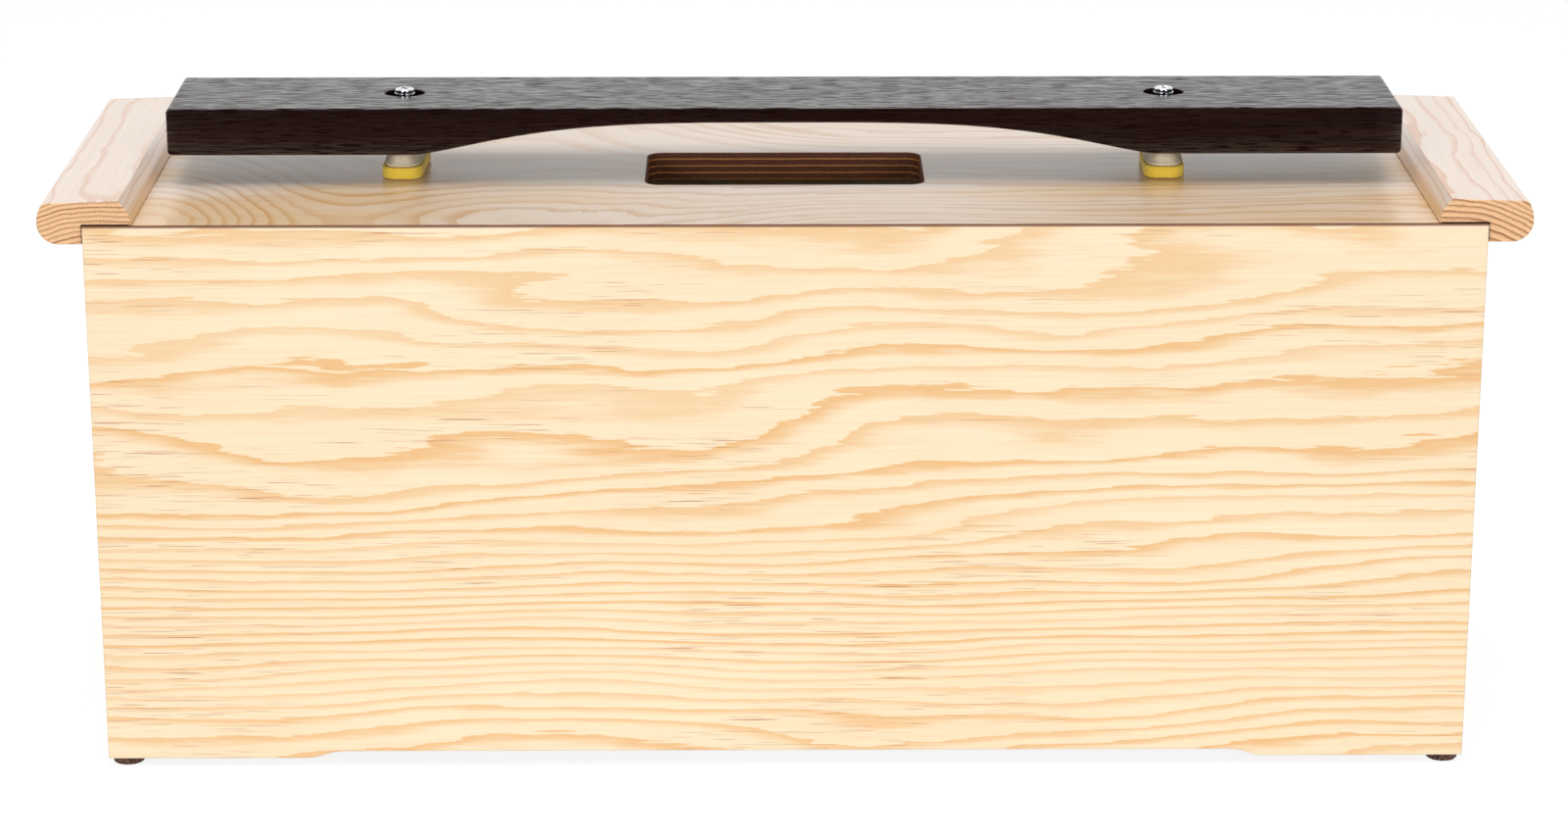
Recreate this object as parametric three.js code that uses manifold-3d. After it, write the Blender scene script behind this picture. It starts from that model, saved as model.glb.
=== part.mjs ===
// Resonator bar: one tuned wooden bar on two padded posts over a plywood sound box with end rails.
// Millimetres, +Z up, +X along the bar, the front of the box at -Y. The origin is under the middle
// of the box, on the surface that its felt feet stand on.

import * as THREE from 'three';
import { mergeVertices } from 'three/addons/utils/BufferGeometryUtils.js';
import Module from 'manifold-3d';

const wasm = await Module();
wasm.setup();

// Fits
const SEAT_GAP = 0.3; // glue line between two faces that touch
const HOLE_GAP = 0.3; // room all round a shank, sleeve or dowel in its hole
const EDGE_BREAK = 0.4; // sanded edge of the boards
const OVERCUT = 1; // how far a cutter reaches past the stock

// Sound box
const BOX_WIDTH = 570;
const BOX_DEPTH = 193;
const PANEL_HEIGHT = 231;
const WALL = 12;
const LIP = 2; // face ply that stays in front of each rebate
const RELIEF_HEIGHT = 3; // hollow along the lower edge of the long panels
const RELIEF_INSET = 82; // from the panel's end to where the hollow starts
const RELIEF_RAMP = 18; // length of its S-shaped start
const TOP_THICKNESS = 12;
const SLOT_LENGTH = 117;
const SLOT_WIDTH = 56;
const SLOT_RADIUS = 6;
const FLOOR_THICKNESS = 6;
const FLOOR_LIFT = 7; // from the panels' lower edge to the groove
const GROOVE_DEPTH = 5;
const CORNER_BLOCK = 16;
const CORNER_BLOCK_FACE = 6; // flat that stays beside the block's cut corner
const CORNER_BLOCK_ROOM = 4; // free length above and below each block

// Felt feet
const FOOT_DIAMETER = 13;
const FOOT_HEIGHT = 3;
const FOOT_INSET = 7.5; // from the box's faces to the foot's centre
const FOOT_EDGE = 0.4;

// End rails, measured from the side wall's outer face and the top surface
const RAIL_SETBACK = 2; // from the box's front and back faces to the rail's ends
const RAIL_INNER = 20;
const RAIL_OUTER = 18.5;
const RAIL_RISE = 10.2;
const RAIL_DROP = 7.8;
const RAIL_FALL = 1; // how far the top sinks towards the nose
const RAIL_NOSE = 8.7; // radius of the outer edge's lower half
const RAIL_BROW = 14.5; // radius of its flatter upper half
const RAIL_LEAN = 1.2; // how far the inner face leans in
const RAIL_CHAMFER_WIDTH = 4;
const RAIL_CHAMFER_HEIGHT = 4.6;
const RAIL_EDGE = 0.5;

// Dowels that locate each rail
const DOWEL_DIAMETER = 6;
const DOWEL_LENGTH = 30;
const DOWEL_IN_RAIL = 6.5;
const DOWEL_SPACING = 70;
const DOWEL_EDGE = 0.8;

// Tone bar
const BAR_LENGTH = 517;
const BAR_WIDTH = 60;
const BAR_THICKNESS = 20;
const BAR_END_RADIUS = 2;
const BAR_EDGE = 0.7;
const ARCH_DEPTH = 13.6;
const ARCH_MARGIN = 5.5; // from a post's axis to the start of the arch
const ARCH_POWER = 3.6; // how flat the middle of the arch is
const ARCH_START = 1.45; // above 1 the arch leaves the underside softly

// Posts that carry the bar
const POST_SPACING = 322;
const BASE_WIDTH = 18;
const BASE_LENGTH = 40;
const BASE_HEIGHT = 5.5;
const BASE_RADIUS = 7;
const BASE_EDGE = 0.6;
const CUSHION_HEIGHT = 7;
const FLANGE_INSET = 0.6; // from the base pad's outline to the cushion's flange
const FLANGE_HEIGHT = 0.9;
const RIDGE_WIDTH = 12.6;
const RIDGE_LENGTH = 36;
const RIDGE_PULL = 3; // how far each end of the ridge draws in towards its crown
const RIDGE_TURN = 0.38 * Math.PI; // how far the ridge's section curls over before its flat crown
const RIDGE_SQUARENESS = 3.2; // exponent of the superellipse outline
const SLEEVE_DIAMETER = 7;
const BAR_HOLE_SIDE_ROOM = 5; // from the sleeve to the bar's hole, along the bar
const BAR_HOLE_END_ROOM = 3.7; // the same across the bar
const WASHER_DIAMETER = 9.4;
const WASHER_THICKNESS = 0.8;
const SHANK_DIAMETER = 4;
const SCREW_TIP = 5;
const SCREW_BITE = 13; // how deep the screw goes into its block
const HEAD_DIAMETER = 8;
const HEAD_HEIGHT = 2.4;
const HEAD_RIM = 0.7; // straight height of the head's rim
const HEAD_ABOVE_BAR = 1.8; // from the bar's top to the top of the head
const RECESS_SPAN = 4.4;
const RECESS_WIDTH = 1.1;
const RECESS_DEPTH = 1.5;
const BLOCK_LENGTH = 44;
const BLOCK_WIDTH = 50;
const BLOCK_HEIGHT = 16;
const BLOCK_RADIUS = 2;

// Smoothness of curved pieces
const CURVE_STEPS = 6;
const ROUND_STEPS = 24;
const NOSE_STEPS = 7;
const ARCH_STEPS = 60;
const RAMP_STEPS = 10;
const OVAL_STEPS = 36;
const RIDGE_STEPS = 7;
const RING_STEPS = 40;

// Places that follow from the sizes
const HALF_WIDTH = BOX_WIDTH / 2;
const HALF_DEPTH = BOX_DEPTH / 2;
const DECK_SEAT = PANEL_HEIGHT - TOP_THICKNESS - SEAT_GAP; // top of the walls under the top panel
const GROOVE_HEIGHT = FLOOR_THICKNESS + 2 * SEAT_GAP;
const POST_X = POST_SPACING / 2;
const BAR_LIFT = BASE_HEIGHT + CUSHION_HEIGHT + 3 * SEAT_GAP; // underside of the bar over the deck
const HEAD_SEAT = BAR_LIFT + BAR_THICKNESS + HEAD_ABOVE_BAR - HEAD_HEIGHT;
const WASHER_SEAT = HEAD_SEAT - SEAT_GAP - WASHER_THICKNESS;
const DOWEL_FOOT = DOWEL_IN_RAIL - DOWEL_LENGTH; // lower end of a dowel, from the top surface
const DOWEL_HOLE = DOWEL_DIAMETER + 2 * HOLE_GAP;
const SHANK_HOLE = SHANK_DIAMETER + 2 * HOLE_GAP;
const SLEEVE_HOLE = SLEEVE_DIAMETER + 2 * HOLE_GAP;

const FINISHES = {
  plywood: { color: 0xe6cb98, roughness: 0.42, metalness: 0 },
  plywoodInside: { color: 0xcfb07c, roughness: 0.8, metalness: 0 },
  pine: { color: 0xe4bd8c, roughness: 0.5, metalness: 0 },
  darkWood: { color: 0x2b1412, roughness: 0.38, metalness: 0 },
  yellowFelt: { color: 0xe6bb45, roughness: 0.95, metalness: 0 },
  creamCushion: { color: 0xd2c3a8, roughness: 0.85, metalness: 0 },
  brownFelt: { color: 0x6b4a34, roughness: 0.95, metalness: 0 },
  rubber: { color: 0x17181a, roughness: 0.7, metalness: 0 },
  steel: { color: 0xb9bcc0, roughness: 0.35, metalness: 1 },
  chrome: { color: 0xe4e6e8, roughness: 0.12, metalness: 1 },
  beech: { color: 0xd9b38a, roughness: 0.7, metalness: 0 },
};

// Geometry helpers

function toSolid(geometry) {
  const bare = geometry.clone();
  bare.deleteAttribute('normal');
  bare.deleteAttribute('uv');
  const merged = mergeVertices(bare);
  const vertProperties = new Float32Array(merged.attributes.position.array);
  const triVerts = new Uint32Array(merged.index.array);
  return new wasm.Manifold(new wasm.Mesh({ numProp: 3, vertProperties, triVerts }));
}

function toGeometry(solid) {
  const mesh = solid.getMesh();
  const geometry = new THREE.BufferGeometry();
  geometry.setAttribute('position', new THREE.BufferAttribute(mesh.vertProperties, 3));
  geometry.setIndex(new THREE.BufferAttribute(mesh.triVerts, 1));
  geometry.computeVertexNormals();
  return geometry;
}

function carve(stock, ...cutters) {
  const left = cutters.reduce((rest, cutter) => rest.subtract(toSolid(cutter)), toSolid(stock));
  return toGeometry(left);
}

// A box between two corners.
function block(low, high) {
  const size = high.map((value, axis) => value - low[axis]);
  const centre = high.map((value, axis) => (value + low[axis]) / 2);
  return new THREE.BoxGeometry(...size).translate(...centre);
}

// A board drawn in XY, standing on Z = 0, with the edges of both faces broken.
function board(outline, thickness, edge, curveSegments = CURVE_STEPS) {
  const geometry = new THREE.ExtrudeGeometry(outline, {
    depth: thickness - 2 * edge,
    bevelEnabled: edge > 0,
    bevelThickness: edge,
    bevelSize: edge,
    bevelOffset: -edge,
    bevelSegments: 1,
    curveSegments,
  });
  return geometry.translate(0, 0, edge);
}

// Turns a board up so that its drawing faces the front, from Y = 0 back.
function standUp(geometry, thickness) {
  return geometry.rotateX(Math.PI / 2).translate(0, thickness, 0);
}

// A solid of revolution round Z from a profile of [radius, height] points that starts and ends on
// the axis or closes on itself.
function turned(profile, steps = ROUND_STEPS) {
  const points = profile.map(([radius, height]) => new THREE.Vector2(radius, height));
  return new THREE.LatheGeometry(points, steps).rotateX(Math.PI / 2);
}

function ring(innerDiameter, outerDiameter, height) {
  const inner = innerDiameter / 2;
  const outer = outerDiameter / 2;
  return turned([[inner, 0], [outer, 0], [outer, height], [inner, height], [inner, 0]]);
}

function roundPeg(diameter, length, edge) {
  const radius = diameter / 2;
  return turned([
    [0, 0],
    [radius - edge, 0],
    [radius, edge],
    [radius, length - edge],
    [radius - edge, length],
    [0, length],
  ]);
}

function drill(diameter, bottom, top) {
  const radius = diameter / 2;
  return turned([[0, bottom], [radius, bottom], [radius, top], [0, top]]);
}

function rectangle(width, length, radius) {
  const corner = Math.min(radius, width / 2, length / 2);
  const x = width / 2 - corner;
  const y = length / 2 - corner;
  const quarter = Math.PI / 2;
  const outline = new THREE.Shape();
  outline.absarc(x, y, corner, 0, quarter);
  outline.absarc(-x, y, corner, quarter, 2 * quarter);
  outline.absarc(-x, -y, corner, 2 * quarter, 3 * quarter);
  outline.absarc(x, -y, corner, 3 * quarter, 4 * quarter);
  return outline;
}

function sharpRectangle(left, right, bottom, top) {
  const corners = [[left, bottom], [right, bottom], [right, top], [left, top]];
  return new THREE.Shape(corners.map(([x, y]) => new THREE.Vector2(x, y)));
}

function roundHole(x, y, diameter) {
  return new THREE.Path().absarc(x, y, diameter / 2, 0, 2 * Math.PI, true);
}

// One closed skin over a stack of rings with equal numbers of points, lowest first.
function loft(rings) {
  const count = rings[0].length;
  const positions = rings.flat(2);
  const faces = [];
  for (let level = 0; level < rings.length - 1; level += 1) {
    for (let step = 0; step < count; step += 1) {
      const next = (step + 1) % count;
      const low = level * count;
      const high = low + count;
      faces.push(low + step, low + next, high + next);
      faces.push(low + step, high + next, high + step);
    }
  }
  const crown = (rings.length - 1) * count;
  for (let step = 1; step < count - 1; step += 1) {
    faces.push(0, step + 1, step);
    faces.push(crown, crown + step, crown + step + 1);
  }
  const geometry = new THREE.BufferGeometry();
  geometry.setAttribute('position', new THREE.Float32BufferAttribute(positions, 3));
  geometry.setIndex(faces);
  geometry.computeVertexNormals();
  return geometry;
}

// Points of the superellipse |x/a|^n + |y/b|^n = 1 at one height.
function superellipse(halfWidth, halfLength, height) {
  const points = [];
  for (let step = 0; step < RING_STEPS; step += 1) {
    const angle = (2 * Math.PI * step) / RING_STEPS;
    const across = Math.cos(angle);
    const along = Math.sin(angle);
    const x = Math.sign(across) * Math.abs(across) ** (2 / RIDGE_SQUARENESS);
    const y = Math.sign(along) * Math.abs(along) ** (2 / RIDGE_SQUARENESS);
    points.push([halfWidth * x, halfLength * y, height]);
  }
  return points;
}

// Sound box

function longPanelOutline() {
  const start = HALF_WIDTH - RELIEF_INSET;
  const end = start - RELIEF_RAMP;
  const middle = (start + end) / 2;
  const outline = new THREE.Shape();
  outline.moveTo(HALF_WIDTH, 0);
  outline.lineTo(HALF_WIDTH, PANEL_HEIGHT);
  outline.lineTo(-HALF_WIDTH, PANEL_HEIGHT);
  outline.lineTo(-HALF_WIDTH, 0);
  outline.lineTo(-start, 0);
  outline.bezierCurveTo(-middle, 0, -middle, RELIEF_HEIGHT, -end, RELIEF_HEIGHT);
  outline.lineTo(end, RELIEF_HEIGHT);
  outline.bezierCurveTo(middle, RELIEF_HEIGHT, middle, 0, start, 0);
  return outline;
}

function longPanel() {
  const stock = standUp(board(longPanelOutline(), WALL, EDGE_BREAK, RAMP_STEPS), WALL);
  const reach = HALF_WIDTH + OVERCUT;
  const back = WALL + OVERCUT;
  const shoulder = HALF_WIDTH - WALL - SEAT_GAP;
  const roof = PANEL_HEIGHT + OVERCUT;
  const grooveTop = FLOOR_LIFT + GROOVE_HEIGHT;
  return carve(
    stock,
    block([-reach, LIP, DECK_SEAT], [reach, back, roof]),
    block([-reach, LIP, -OVERCUT], [-shoulder, back, roof]),
    block([shoulder, LIP, -OVERCUT], [reach, back, roof]),
    block([-reach, WALL - GROOVE_DEPTH, FLOOR_LIFT], [reach, back, grooveTop]),
  );
}

// Drawn for the left side: outer face at X = 0, inner face at X = WALL.
function sidePanel() {
  const reach = HALF_DEPTH - LIP - SEAT_GAP;
  const outline = sharpRectangle(-reach, reach, 0, DECK_SEAT);
  const stock = board(outline, WALL, EDGE_BREAK).rotateX(Math.PI / 2).rotateZ(Math.PI / 2);
  const cutReach = reach + OVERCUT;
  const grooveTop = FLOOR_LIFT + GROOVE_HEIGHT;
  const groove = block([WALL - GROOVE_DEPTH, -cutReach, FLOOR_LIFT], [WALL + OVERCUT, cutReach, grooveTop]);
  const holeFoot = PANEL_HEIGHT + DOWEL_FOOT - HOLE_GAP;
  const holes = dowelRows().map((y) => drill(DOWEL_HOLE, holeFoot, PANEL_HEIGHT).translate(WALL / 2, y, 0));
  return carve(stock, groove, ...holes);
}

function topPanel() {
  const reach = HALF_DEPTH - LIP - SEAT_GAP;
  const outline = sharpRectangle(-HALF_WIDTH, HALF_WIDTH, -reach, reach);
  const slot = rectangle(SLOT_LENGTH, SLOT_WIDTH, SLOT_RADIUS).getPoints(CURVE_STEPS);
  outline.holes.push(new THREE.Path(slot));
  for (const side of [-1, 1]) {
    outline.holes.push(roundHole(side * POST_X, 0, SHANK_HOLE));
    for (const y of dowelRows()) {
      outline.holes.push(roundHole(side * (HALF_WIDTH - WALL / 2), y, DOWEL_HOLE));
    }
  }
  return board(outline, TOP_THICKNESS, EDGE_BREAK, CURVE_STEPS);
}

function bottomPanel() {
  const reachX = HALF_WIDTH - WALL + GROOVE_DEPTH - SEAT_GAP;
  const reachY = HALF_DEPTH - WALL + GROOVE_DEPTH - SEAT_GAP;
  return block([-reachX, -reachY, 0], [reachX, reachY, FLOOR_THICKNESS]);
}

function cornerBlockBase() {
  return FLOOR_LIFT + GROOVE_HEIGHT + CORNER_BLOCK_ROOM;
}

// Drawn with its glued faces on X = 0 and Y = 0 and its body towards -X and -Y.
function cornerBlock() {
  const corners = [
    [0, 0],
    [-CORNER_BLOCK, 0],
    [-CORNER_BLOCK, -CORNER_BLOCK_FACE],
    [-CORNER_BLOCK_FACE, -CORNER_BLOCK],
    [0, -CORNER_BLOCK],
  ];
  const outline = new THREE.Shape(corners.map(([x, y]) => new THREE.Vector2(x, y)));
  return board(outline, DECK_SEAT - cornerBlockBase() - CORNER_BLOCK_ROOM, EDGE_BREAK);
}

// End rails

function dowelRows() {
  return [-DOWEL_SPACING, 0, DOWEL_SPACING];
}

function railOutline() {
  const noseZ = RAIL_NOSE - RAIL_DROP;
  const browTurn = Math.asin((RAIL_RISE - RAIL_FALL - noseZ) / RAIL_BROW);
  const outline = new THREE.Shape();
  outline.moveTo(-SEAT_GAP, SEAT_GAP);
  outline.lineTo(RAIL_INNER, SEAT_GAP);
  outline.lineTo(RAIL_INNER - RAIL_LEAN, RAIL_RISE - RAIL_CHAMFER_HEIGHT);
  outline.lineTo(RAIL_INNER - RAIL_LEAN - RAIL_CHAMFER_WIDTH, RAIL_RISE);
  outline.absarc(RAIL_BROW - RAIL_OUTER, noseZ, RAIL_BROW, Math.PI - browTurn, Math.PI);
  outline.absarc(RAIL_NOSE - RAIL_OUTER, noseZ, RAIL_NOSE, Math.PI, 1.5 * Math.PI);
  outline.lineTo(-SEAT_GAP, -RAIL_DROP);
  return outline;
}

// Drawn for the left side: the wall's outer face at X = 0, the box towards +X.
function rail() {
  const length = BOX_DEPTH - 2 * RAIL_SETBACK;
  const stock = standUp(board(railOutline(), length, RAIL_EDGE, NOSE_STEPS), length / 2);
  const holeTop = DOWEL_IN_RAIL + HOLE_GAP;
  const holes = dowelRows().map((y) => drill(DOWEL_HOLE, -OVERCUT, holeTop).translate(WALL / 2, y, 0));
  return carve(stock, ...holes);
}

// Tone bar

function archRise(x, reach) {
  return ARCH_DEPTH * (1 - Math.abs(x / reach) ** ARCH_POWER) ** ARCH_START;
}

// The side of the bar: flat on top, round at both ends, and hollowed from below between the posts.
function barOutline() {
  const reach = BAR_LENGTH / 2 - BAR_END_RADIUS;
  const roof = BAR_THICKNESS - BAR_END_RADIUS;
  const quarter = Math.PI / 2;
  const archReach = POST_X - ARCH_MARGIN;
  const outline = new THREE.Shape();
  outline.absarc(reach, roof, BAR_END_RADIUS, 0, quarter);
  outline.absarc(-reach, roof, BAR_END_RADIUS, quarter, 2 * quarter);
  outline.absarc(-reach, BAR_END_RADIUS, BAR_END_RADIUS, 2 * quarter, 3 * quarter);
  for (let step = 0; step <= ARCH_STEPS; step += 1) {
    const x = -archReach * Math.cos((Math.PI * step) / ARCH_STEPS);
    outline.lineTo(x, archRise(x, archReach));
  }
  outline.absarc(reach, BAR_END_RADIUS, BAR_END_RADIUS, 3 * quarter, 4 * quarter);
  return outline;
}

function barHole() {
  const halfX = SLEEVE_DIAMETER / 2 + BAR_HOLE_SIDE_ROOM;
  const halfY = SLEEVE_DIAMETER / 2 + BAR_HOLE_END_ROOM;
  const oval = new THREE.Shape().absellipse(0, 0, halfX, halfY, 0, 2 * Math.PI);
  const points = new THREE.Shape(oval.getPoints(OVAL_STEPS).slice(0, -1));
  return board(points, BAR_THICKNESS + 2 * OVERCUT, 0).translate(0, 0, -OVERCUT);
}

function toneBar() {
  const stock = standUp(board(barOutline(), BAR_WIDTH, BAR_EDGE), BAR_WIDTH / 2);
  return carve(stock, barHole().translate(-POST_X, 0, 0), barHole().translate(POST_X, 0, 0));
}

// Posts

function basePad() {
  const outline = rectangle(BASE_WIDTH, BASE_LENGTH, BASE_RADIUS);
  outline.holes.push(roundHole(0, 0, SLEEVE_HOLE));
  return board(outline, BASE_HEIGHT, BASE_EDGE);
}

// A thin flange over the base pad with a crowned ridge across the bar, pierced for the sleeve.
function cushion() {
  const flangeX = BASE_WIDTH / 2 - FLANGE_INSET;
  const flangeY = BASE_LENGTH / 2 - FLANGE_INSET;
  const rings = [superellipse(flangeX, flangeY, 0), superellipse(flangeX, flangeY, FLANGE_HEIGHT)];
  const climb = (CUSHION_HEIGHT - FLANGE_HEIGHT) / Math.sin(RIDGE_TURN);
  for (let step = 0; step <= RIDGE_STEPS; step += 1) {
    const turn = (RIDGE_TURN * step) / RIDGE_STEPS;
    const halfWidth = (RIDGE_WIDTH / 2) * Math.cos(turn);
    const halfLength = RIDGE_LENGTH / 2 - RIDGE_PULL * (1 - Math.cos(turn));
    rings.push(superellipse(halfWidth, halfLength, FLANGE_HEIGHT + climb * Math.sin(turn)));
  }
  return carve(loft(rings), drill(SLEEVE_HOLE, -OVERCUT, CUSHION_HEIGHT + OVERCUT));
}

function sleeve() {
  return ring(SHANK_HOLE, SLEEVE_DIAMETER, WASHER_SEAT - 2 * SEAT_GAP);
}

function washer() {
  return ring(SHANK_HOLE, WASHER_DIAMETER, WASHER_THICKNESS);
}

function crossRecess() {
  const long = RECESS_SPAN / 2;
  const short = RECESS_WIDTH / 2;
  const arm = block([-long, -short, 0], [long, short, RECESS_DEPTH + OVERCUT]);
  const otherArm = block([-short, -long, 0], [short, long, RECESS_DEPTH + OVERCUT]);
  return toGeometry(toSolid(arm).add(toSolid(otherArm)));
}

// Drawn with the underside of its pan head on Z = 0.
function barScrew() {
  const shank = SHANK_DIAMETER / 2;
  const head = HEAD_DIAMETER / 2;
  const tip = -(HEAD_SEAT + TOP_THICKNESS + SEAT_GAP + SCREW_BITE);
  const profile = [[0, tip], [shank, tip + SCREW_TIP], [shank, 0], [head, 0]];
  for (let step = 0; step < CURVE_STEPS; step += 1) {
    const turn = (Math.PI * step) / (2 * CURVE_STEPS);
    profile.push([head * Math.cos(turn), HEAD_RIM + (HEAD_HEIGHT - HEAD_RIM) * Math.sin(turn)]);
  }
  profile.push([0, HEAD_HEIGHT]);
  return carve(turned(profile), crossRecess().translate(0, 0, HEAD_HEIGHT - RECESS_DEPTH));
}

function screwBlock() {
  const outline = rectangle(BLOCK_LENGTH, BLOCK_WIDTH, BLOCK_RADIUS);
  outline.holes.push(roundHole(0, 0, SHANK_HOLE));
  return board(outline, BLOCK_HEIGHT, EDGE_BREAK);
}

// Assembly

function add(parent, name, geometry, finish, place, turn = 0) {
  const mesh = new THREE.Mesh(geometry, new THREE.MeshStandardMaterial(FINISHES[finish]));
  mesh.name = name;
  mesh.position.set(...place);
  mesh.rotation.z = turn;
  parent.add(mesh);
}

function group(parent, place) {
  const child = new THREE.Group();
  child.position.set(...place);
  parent.add(child);
  return child;
}

function addWalls(box) {
  add(box, 'front_panel', longPanel(), 'plywood', [0, -HALF_DEPTH, 0]);
  add(box, 'back_panel', longPanel(), 'plywood', [0, HALF_DEPTH, 0], Math.PI);
  add(box, 'left_side_panel', sidePanel(), 'plywood', [-HALF_WIDTH, 0, 0]);
  add(box, 'right_side_panel', sidePanel(), 'plywood', [HALF_WIDTH, 0, 0], Math.PI);
  add(box, 'bottom_panel', bottomPanel(), 'plywoodInside', [0, 0, FLOOR_LIFT + SEAT_GAP]);
}

// The four corners in turn, each a quarter turn round from the last.
function corners(insetX, insetY) {
  const x = HALF_WIDTH - insetX;
  const y = HALF_DEPTH - insetY;
  return [
    { corner: 'back_right', x, y, turn: 0 },
    { corner: 'back_left', x: -x, y, turn: Math.PI / 2 },
    { corner: 'front_left', x: -x, y: -y, turn: Math.PI },
    { corner: 'front_right', x, y: -y, turn: -Math.PI / 2 },
  ];
}

function addCornerBlocks(box) {
  const inset = WALL + SEAT_GAP;
  for (const { corner, x, y, turn } of corners(inset, inset)) {
    add(box, `corner_block_${corner}`, cornerBlock(), 'pine', [x, y, cornerBlockBase()], turn);
  }
}

function addFeet(parent) {
  for (const { corner, x, y } of corners(FOOT_INSET, FOOT_INSET)) {
    add(parent, `foot_${corner}`, roundPeg(FOOT_DIAMETER, FOOT_HEIGHT, FOOT_EDGE), 'brownFelt', [x, y, 0]);
  }
}

function addRail(deck, side, sign) {
  const turn = sign > 0 ? Math.PI : 0;
  const dowelX = sign * (HALF_WIDTH - WALL / 2);
  add(deck, `${side}_rail`, rail(), 'pine', [sign * HALF_WIDTH, 0, 0], turn);
  dowelRows().forEach((y, row) => {
    const peg = roundPeg(DOWEL_DIAMETER, DOWEL_LENGTH, DOWEL_EDGE);
    add(deck, `${side}_rail_dowel_${row + 1}`, peg, 'beech', [dowelX, y, DOWEL_FOOT]);
  });
}

function addPost(deck, side, sign) {
  const post = group(deck, [sign * POST_X, 0, 0]);
  const cushionSeat = BASE_HEIGHT + 2 * SEAT_GAP;
  const blockSeat = -(TOP_THICKNESS + SEAT_GAP + BLOCK_HEIGHT);
  add(post, `${side}_base_pad`, basePad(), 'yellowFelt', [0, 0, SEAT_GAP]);
  add(post, `${side}_cushion`, cushion(), 'creamCushion', [0, 0, cushionSeat]);
  add(post, `${side}_sleeve`, sleeve(), 'rubber', [0, 0, SEAT_GAP]);
  add(post, `${side}_washer`, washer(), 'steel', [0, 0, WASHER_SEAT]);
  add(post, `${side}_bar_screw`, barScrew(), 'chrome', [0, 0, HEAD_SEAT]);
  add(post, `${side}_screw_block`, screwBlock(), 'pine', [0, 0, blockSeat]);
}

function resonatorBar() {
  const model = new THREE.Group();
  const box = group(model, [0, 0, FOOT_HEIGHT + SEAT_GAP]);
  const deck = group(box, [0, 0, PANEL_HEIGHT]);
  addFeet(model);
  addWalls(box);
  addCornerBlocks(box);
  add(deck, 'top_panel', topPanel(), 'plywood', [0, 0, -TOP_THICKNESS]);
  addRail(deck, 'left', -1);
  addRail(deck, 'right', 1);
  addPost(deck, 'left', -1);
  addPost(deck, 'right', 1);
  add(deck, 'tone_bar', toneBar(), 'darkWood', [0, 0, BAR_LIFT]);
  return model;
}

export default resonatorBar();
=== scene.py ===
# %% [markdown]
# # A resonator bar
# One tuned wooden bar lies on two padded posts over a plywood sound box with a rounded rail at
# each end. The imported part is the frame: it says where every piece is and how it moves. This
# lesson adds what a plain solid can't show: rounded surfaces, felt, foam, threads, and wood
# whose rings run through the board from one face to the next.

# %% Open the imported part
import math

import bmesh
import bpy
import mathutils
import numpy as np
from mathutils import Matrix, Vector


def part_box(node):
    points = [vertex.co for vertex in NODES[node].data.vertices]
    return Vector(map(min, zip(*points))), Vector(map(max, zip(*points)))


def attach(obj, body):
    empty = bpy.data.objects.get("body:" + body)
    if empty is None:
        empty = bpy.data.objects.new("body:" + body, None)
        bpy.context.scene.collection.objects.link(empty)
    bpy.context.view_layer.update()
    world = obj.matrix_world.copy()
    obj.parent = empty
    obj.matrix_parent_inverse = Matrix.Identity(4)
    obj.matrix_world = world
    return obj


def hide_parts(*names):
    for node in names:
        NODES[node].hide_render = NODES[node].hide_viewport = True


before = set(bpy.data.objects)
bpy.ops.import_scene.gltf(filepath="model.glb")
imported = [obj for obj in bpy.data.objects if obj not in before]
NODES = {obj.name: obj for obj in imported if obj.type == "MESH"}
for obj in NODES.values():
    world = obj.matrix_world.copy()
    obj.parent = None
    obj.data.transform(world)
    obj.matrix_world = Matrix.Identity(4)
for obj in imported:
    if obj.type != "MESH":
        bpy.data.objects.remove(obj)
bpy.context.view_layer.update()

# %% [markdown]
# ## Sizes
# The sizes are the maker's own, in millimetres, and MM turns them into Blender's metres. The
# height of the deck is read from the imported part, so that each fine surface sits exactly where
# its solid is.

# %% Sizes and places
MM = 0.001
HALF_WIDTH, HALF_DEPTH = 285, 96.5
DECK_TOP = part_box("top_panel")[1].z / MM
DECK_THICKNESS = 12
POST_X = 161
SEAT_GAP = 0.3
SIDES = {"left": -1, "right": 1}
DOWEL_ROWS = (-70, 0, 70)
print("top of the deck, mm:", round(DECK_TOP, 2))

# %% [markdown]
# ## The camera
# The photograph was taken from the front and a little above, from far enough away that the
# upright edges of the box hardly run together. A long lens does that. It could be set by eye, but
# matching some thirty corners of the photograph gives the place, the tilt and the lens at once.

# %% Camera
IMAGE_WIDTH = 1600
FOCAL_PIXELS = 4242.7
CAMERA_PLACE = (-13.5, -1725.8, 662.6)
CAMERA_PITCH, CAMERA_YAW = 17.386, 0.4435


def add_object(name, data):
    """A new object in the scene, at the origin."""
    made = bpy.data.objects.new(name, data)
    bpy.context.scene.collection.objects.link(made)
    return made


def add_camera():
    """A camera that looks along +Y, tipped down by the pitch and turned to the right by the yaw.
    The lens is the focal length in pixels as a share of the image's width, times the sensor."""
    data = bpy.data.cameras.new("camera")
    data.sensor_width = 36
    data.lens = data.sensor_width * FOCAL_PIXELS / IMAGE_WIDTH
    camera = add_object("camera", data)
    camera.location = [place * MM for place in CAMERA_PLACE]
    camera.rotation_euler = (math.radians(90 - CAMERA_PITCH), 0, -math.radians(CAMERA_YAW))
    bpy.context.scene.camera = camera
    print("lens, mm:", round(data.lens, 2))


add_camera()

# %% [markdown]
# ## Surfaces from grids
# Every new piece is a grid of points, worked out as whole arrays, with a face between each four
# neighbours. A grid that closes on itself in both directions is a ring. A grid with a lid on its
# first and last row is a bar. Blender's own cylinders and cubes would be quicker, but they give
# no control over where an edge turns round.

# %% Grids and meshes
SAME_PLACE = 1e-4
SHARP_TURN = math.radians(50)


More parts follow.
